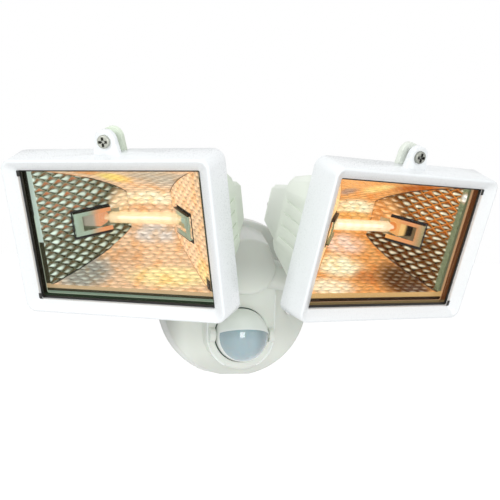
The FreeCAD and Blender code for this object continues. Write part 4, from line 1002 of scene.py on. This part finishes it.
def makeStudio():
    for name, (azimuth, elevation, distance, width, height, power) in studio["lamps"].items():
        light = bpy.data.lights.new(name, "AREA")
        light.shape = "RECTANGLE"
        light.size, light.size_y, light.energy = width, height, power
        obj = newObject(name, light)
        a, e = radians(azimuth), radians(elevation)
        out = Vector((math.sin(a) * math.cos(e), -math.cos(a) * math.cos(e), math.sin(e)))
        obj.location = Vector(studio["centre"]) + out * distance
        obj.rotation_euler = out.to_track_quat("Z", "Y").to_euler()
    scene.view_settings.view_transform = "Standard"
    world = bpy.data.worlds.new("studio")
    scene.world = world
    world.use_nodes = True
    tree = world.node_tree
    strength = plus(tree, seenOnly(tree, 1.0 - studio["world"]), studio["world"])
    put(tree, tree.nodes["Background"], {0: (1, 1, 1, 1), 1: strength})
    bpy.ops.mesh.primitive_plane_add(size=studio["floorSize"], location=(0, studio["floorBack"], studio["floorHeight"]))
    floor = made("floor")
    tree, shader = newMaterial("floorWhite")
    speckle = put(tree, node(tree, "TexNoise"), {"Scale": 3.0})
    color = ramp(tree, speckle.outputs[0], [(n, (grey,) * 3) for n, grey in enumerate(studio["floorGrey"])])
    put(tree, shader, {"Base Color": color, "Roughness": 1.0, "Specular IOR Level": 0.0,
                       "Emission Color": (1, 1, 1, 1), "Emission Strength": seenOnly(tree, studio["floorGlow"])})
    paint(floor, "floorWhite")


def crossRecess(half, recessShade, middle, middleHighlight):
    # painted patches for a screw's recess, by their half widths: two bars of painted shade and a painted highlight in
    # the middle
    height, reach = 64.0, 3.2
    return [("x", -half, half, recessShade, 0.0, ("z", height - reach, height + reach)),
            ("z", height - half, height + half, recessShade, 0.0, ("x", -reach, reach)),
            ("x", -middle, middle, middleHighlight, 0.0, ("z", height - middle, height + middle))]


# colours of a head's small parts, with painted light, shade and reflection on the rim, gasket, brackets, folds and lamp
# ends and painted shade and highlight in the screws' recesses: base, how much of it glows as painted lamp light, then
# patches laid over it; a patch has its axis, its two ends in mm, its colour, its glow and where needed a limit on
# another axis
headLooks = {
    "leftRim": ((66, 64, 42), 0.35, [
        ("z", 40, 60, (150, 140, 118), 0.5), ("z", -60, -43.4, (150, 172, 150), 0.45),
        ("z", -41.4, -38, (214, 184, 140), 0.5), ("x", -80, -59, (216, 236, 222), 0.6, ("z", -7.5, 60))]),
    "rightRim": ((124, 130, 98), 0.4, [
        ("x", 63.2, 80, (206, 168, 126), 0.5), ("z", -60, -39.0, (64, 42, 22), 0.2),
        ("z", -42.4, -38, (226, 182, 116), 0.6), ("z", 44, 60, (60, 38, 20), 0.2)]),
    "leftGasket": ((14, 14, 12), 0.0, [
        ("y", 12.0, 20, (36, 32, 22), 0.2), ("y", 12.0, 20, (50, 64, 46), 0.3, ("z", -60, -44.9)),
        ("y", 12.75, 14.0, (170, 182, 160), 0.5, ("z", -60, 12))]),
    "rightGasket": ((16, 14, 11), 0.0, [
        ("y", 12.0, 20, (126, 76, 42), 0.4), ("y", 12.0, 20, (148, 128, 88), 0.35, ("z", -60, -44.9)),
        ("y", 12.75, 14.0, (204, 160, 118), 0.5)]),
    "leftBracket": ((166, 188, 168), 0.35, [
        ("x", -33, 0, (243, 165, 112), 0.85), ("x", 0, 27, (240, 186, 150), 0.8),
        ("z", 8.3, 20, (44, 40, 24), 0.1), ("z", -20, -8.3, (22, 16, 10), 0.0)]),
    "rightBracket": ((150, 148, 108), 0.35, [
        ("x", 0, 40.5, (236, 160, 104), 0.8), ("x", 0, 30, (252, 178, 100), 0.95),
        ("z", 8.3, 20, (52, 22, 8), 0.1), ("z", -20, -8.3, (30, 10, 4), 0.0)]),
    # the two heads' screws are one plated steel, lighter on the left and darker on the right: painted light and painted
    # shade
    "leftScrew": ((176, 178, 168), 0.0, crossRecess(0.9, (58, 60, 52), 0.9, (196, 198, 190))),
    "rightScrew": ((150, 152, 144), 0.0, crossRecess(1.0, (44, 44, 40), 0.8, (150, 152, 146))),
    "leftFold": ((226, 170, 122), 0.8, [
        ("x", -37, -14, (64, 42, 24), 0.2, ("z", 10, 60)), ("x", -60, -28, (40, 38, 28), 0.1, ("z", -60, 0)),
        ("x", 14, 46, (120, 84, 52), 0.4, ("z", 12, 60))]),
    "rightFold": ((214, 140, 84), 0.7, [("x", 0, 80, (84, 44, 14), 0.2)]),
    "leftCeramic": ((206, 198, 178), 0.45, [
        ("x", -36.5, 20, (240, 172, 126), 0.8), ("x", -60, -46.5, (30, 28, 14), 0.1),
        ("x", 20, 60, (178, 198, 178), 0.5)]),
    "rightCeramic": ((34, 26, 16), 0.2, [("x", -40, 40, (255, 206, 130), 0.9), ("x", -33, 33, (236, 140, 70), 0.9)]),
}
# how metallic each part is and how softly, in mm, its patches on x end; the other patches end sharply
headParts = {"Rim": (0.5, 0.15), "Gasket": (0.0, 0.15), "Bracket": (0.6, 4.0), "Fold": (0.0, 2.0),
             "Ceramic": (0.0, 2.0), "Screw": (0.9, 0.3)}
sharp = 0.15


def makeHeadLook(side, part):
    base, glow, patches = headLooks[side + part]
    metallic, softness = headParts[part]
    tree, shader = newMaterial(side + part)
    xyz = headSpace(tree, side)[1]
    color = tone(base)
    for axis, low, high, shade, patchGlow, *limits in patches:
        soft = softness if axis == "x" else sharp
        mask = 1.0
        for name, start, end in [(axis, low, high), *limits]:
            value = xyz["xyz".index(name)]
            inside = times(tree, above(tree, value, start, soft), below(tree, value, end, soft))
            mask = times(tree, mask, inside)
        color = mixColors(tree, mask, color, tone(shade))
        glow = mixNumbers(tree, mask, glow, patchGlow)
    finish = useGroup(tree, finishGroup, Color=color, Mottle=0.25, Grain_Scale=500.0, Grain_Depth=0.12,
                      Roughness=0.4, Roughness_Spread=0.1)
    # the glow is painted lamp light: it is taken out of the base colour and given as emission
    put(tree, shader, {"Base Color": scaled(tree, finish["Color"], minus(tree, 1.0, glow)),
                       "Roughness": finish["Roughness"], "Normal": finish["Normal"], "Metallic": metallic,
                       "Emission Color": scaled(tree, finish["Color"], glow), "Emission Strength": 1.0})


frontGlass = {"color": (0.04, 0.05, 0.045, 1), "alpha": 0.05, "smearScale": 25.0, "roughness": (0.03, 0.01)}
# the tube's glow, dim and full, and its strength; it is brighter in stretches between the filament's supports
tubeGlow = {
    "left": ((0.85, 0.48, 0.15), (1.0, 0.87, 0.46), 0.28), "right": ((1.0, 0.72, 0.34), (1.0, 0.96, 0.76), 0.36),
    "stretch": 8.5, "wave": 0.17, "smearScale": 0.12, "smear": 0.5, "level": 0.28,
    "color": (0.9, 0.82, 0.66, 1), "alpha": 0.5, "roughness": (0.05, 0.04),
}
filamentGlow = {"filamentGlow": ((1.0, 0.86, 0.58), 3.0), "filamentWire": ((1.0, 0.55, 0.25), 1.0)}


def makeGlassLook():
    tree, shader = newMaterial("frontGlass")
    smear = noise(tree, objectPlace(tree), frontGlass["smearScale"], 3.0)[0]
    put(tree, shader, {"Base Color": frontGlass["color"], "Alpha": frontGlass["alpha"],
                       "Roughness": line(tree, smear, *frontGlass["roughness"])})


def makeTubeLook(side):
    dim, full, strength = tubeGlow[side]
    tree, shader = newMaterial(side + "LampGlass")
    vector, xyz = headSpace(tree, side)
    smear = noise(tree, vector, tubeGlow["smearScale"], 1.0)[0]
    wave = calc(tree, "SINE", times(tree, xyz[0], 2 * math.pi / tubeGlow["stretch"]))
    level = plus(tree, times(tree, smear, tubeGlow["smear"]), times(tree, wave, tubeGlow["wave"]))
    glow = ramp(tree, plus(tree, level, tubeGlow["level"]), [(0.3, dim), (0.6, full)])
    put(tree, shader, {"Base Color": tubeGlow["color"], "Alpha": tubeGlow["alpha"],
                       "Roughness": line(tree, smear, *tubeGlow["roughness"]),
                       "Emission Color": glow, "Emission Strength": strength})


def makeFilamentLook(name, color, strength):
    tree, shader = newMaterial(name)
    flow = noise(tree, objectPlace(tree), 120.0, 2.0)[0]
    light = ramp(tree, flow, [(0.3, tuple(c * 0.8 for c in color)), (0.7, color)])
    put(tree, shader, {"Base Color": (0.3, 0.28, 0.26, 1), "Metallic": 1.0, "Roughness": 0.4,
                       "Emission Color": light, "Emission Strength": strength})


makeGlassLook()
for name, (color, strength) in filamentGlow.items():
    makeFilamentLook(name, color, strength)
for side in ("left", "right"):
    makeTubeLook(side)
    for part in headParts:
        makeHeadLook(side, part)
print("materials made:", len(looks))
makeCamera()
makeStudio()
print("camera and studio made")
softenSolids()
dressSolids()
print("solids softened and dressed")
for side in ("left", "right"):
    makeReflector(side)
    makeFolds(side)
    makeBlocks(side, "GasketTabs")
    makeBlocks(side, "BracketGap")
    makeTube(side)
    makeFilament(side)
    makeLampEnds(side)
    print(side, "head fitted out")
makeLens()
makeBead()
makeBlocks("left", "Slot")
print("sensor lens and bead made")
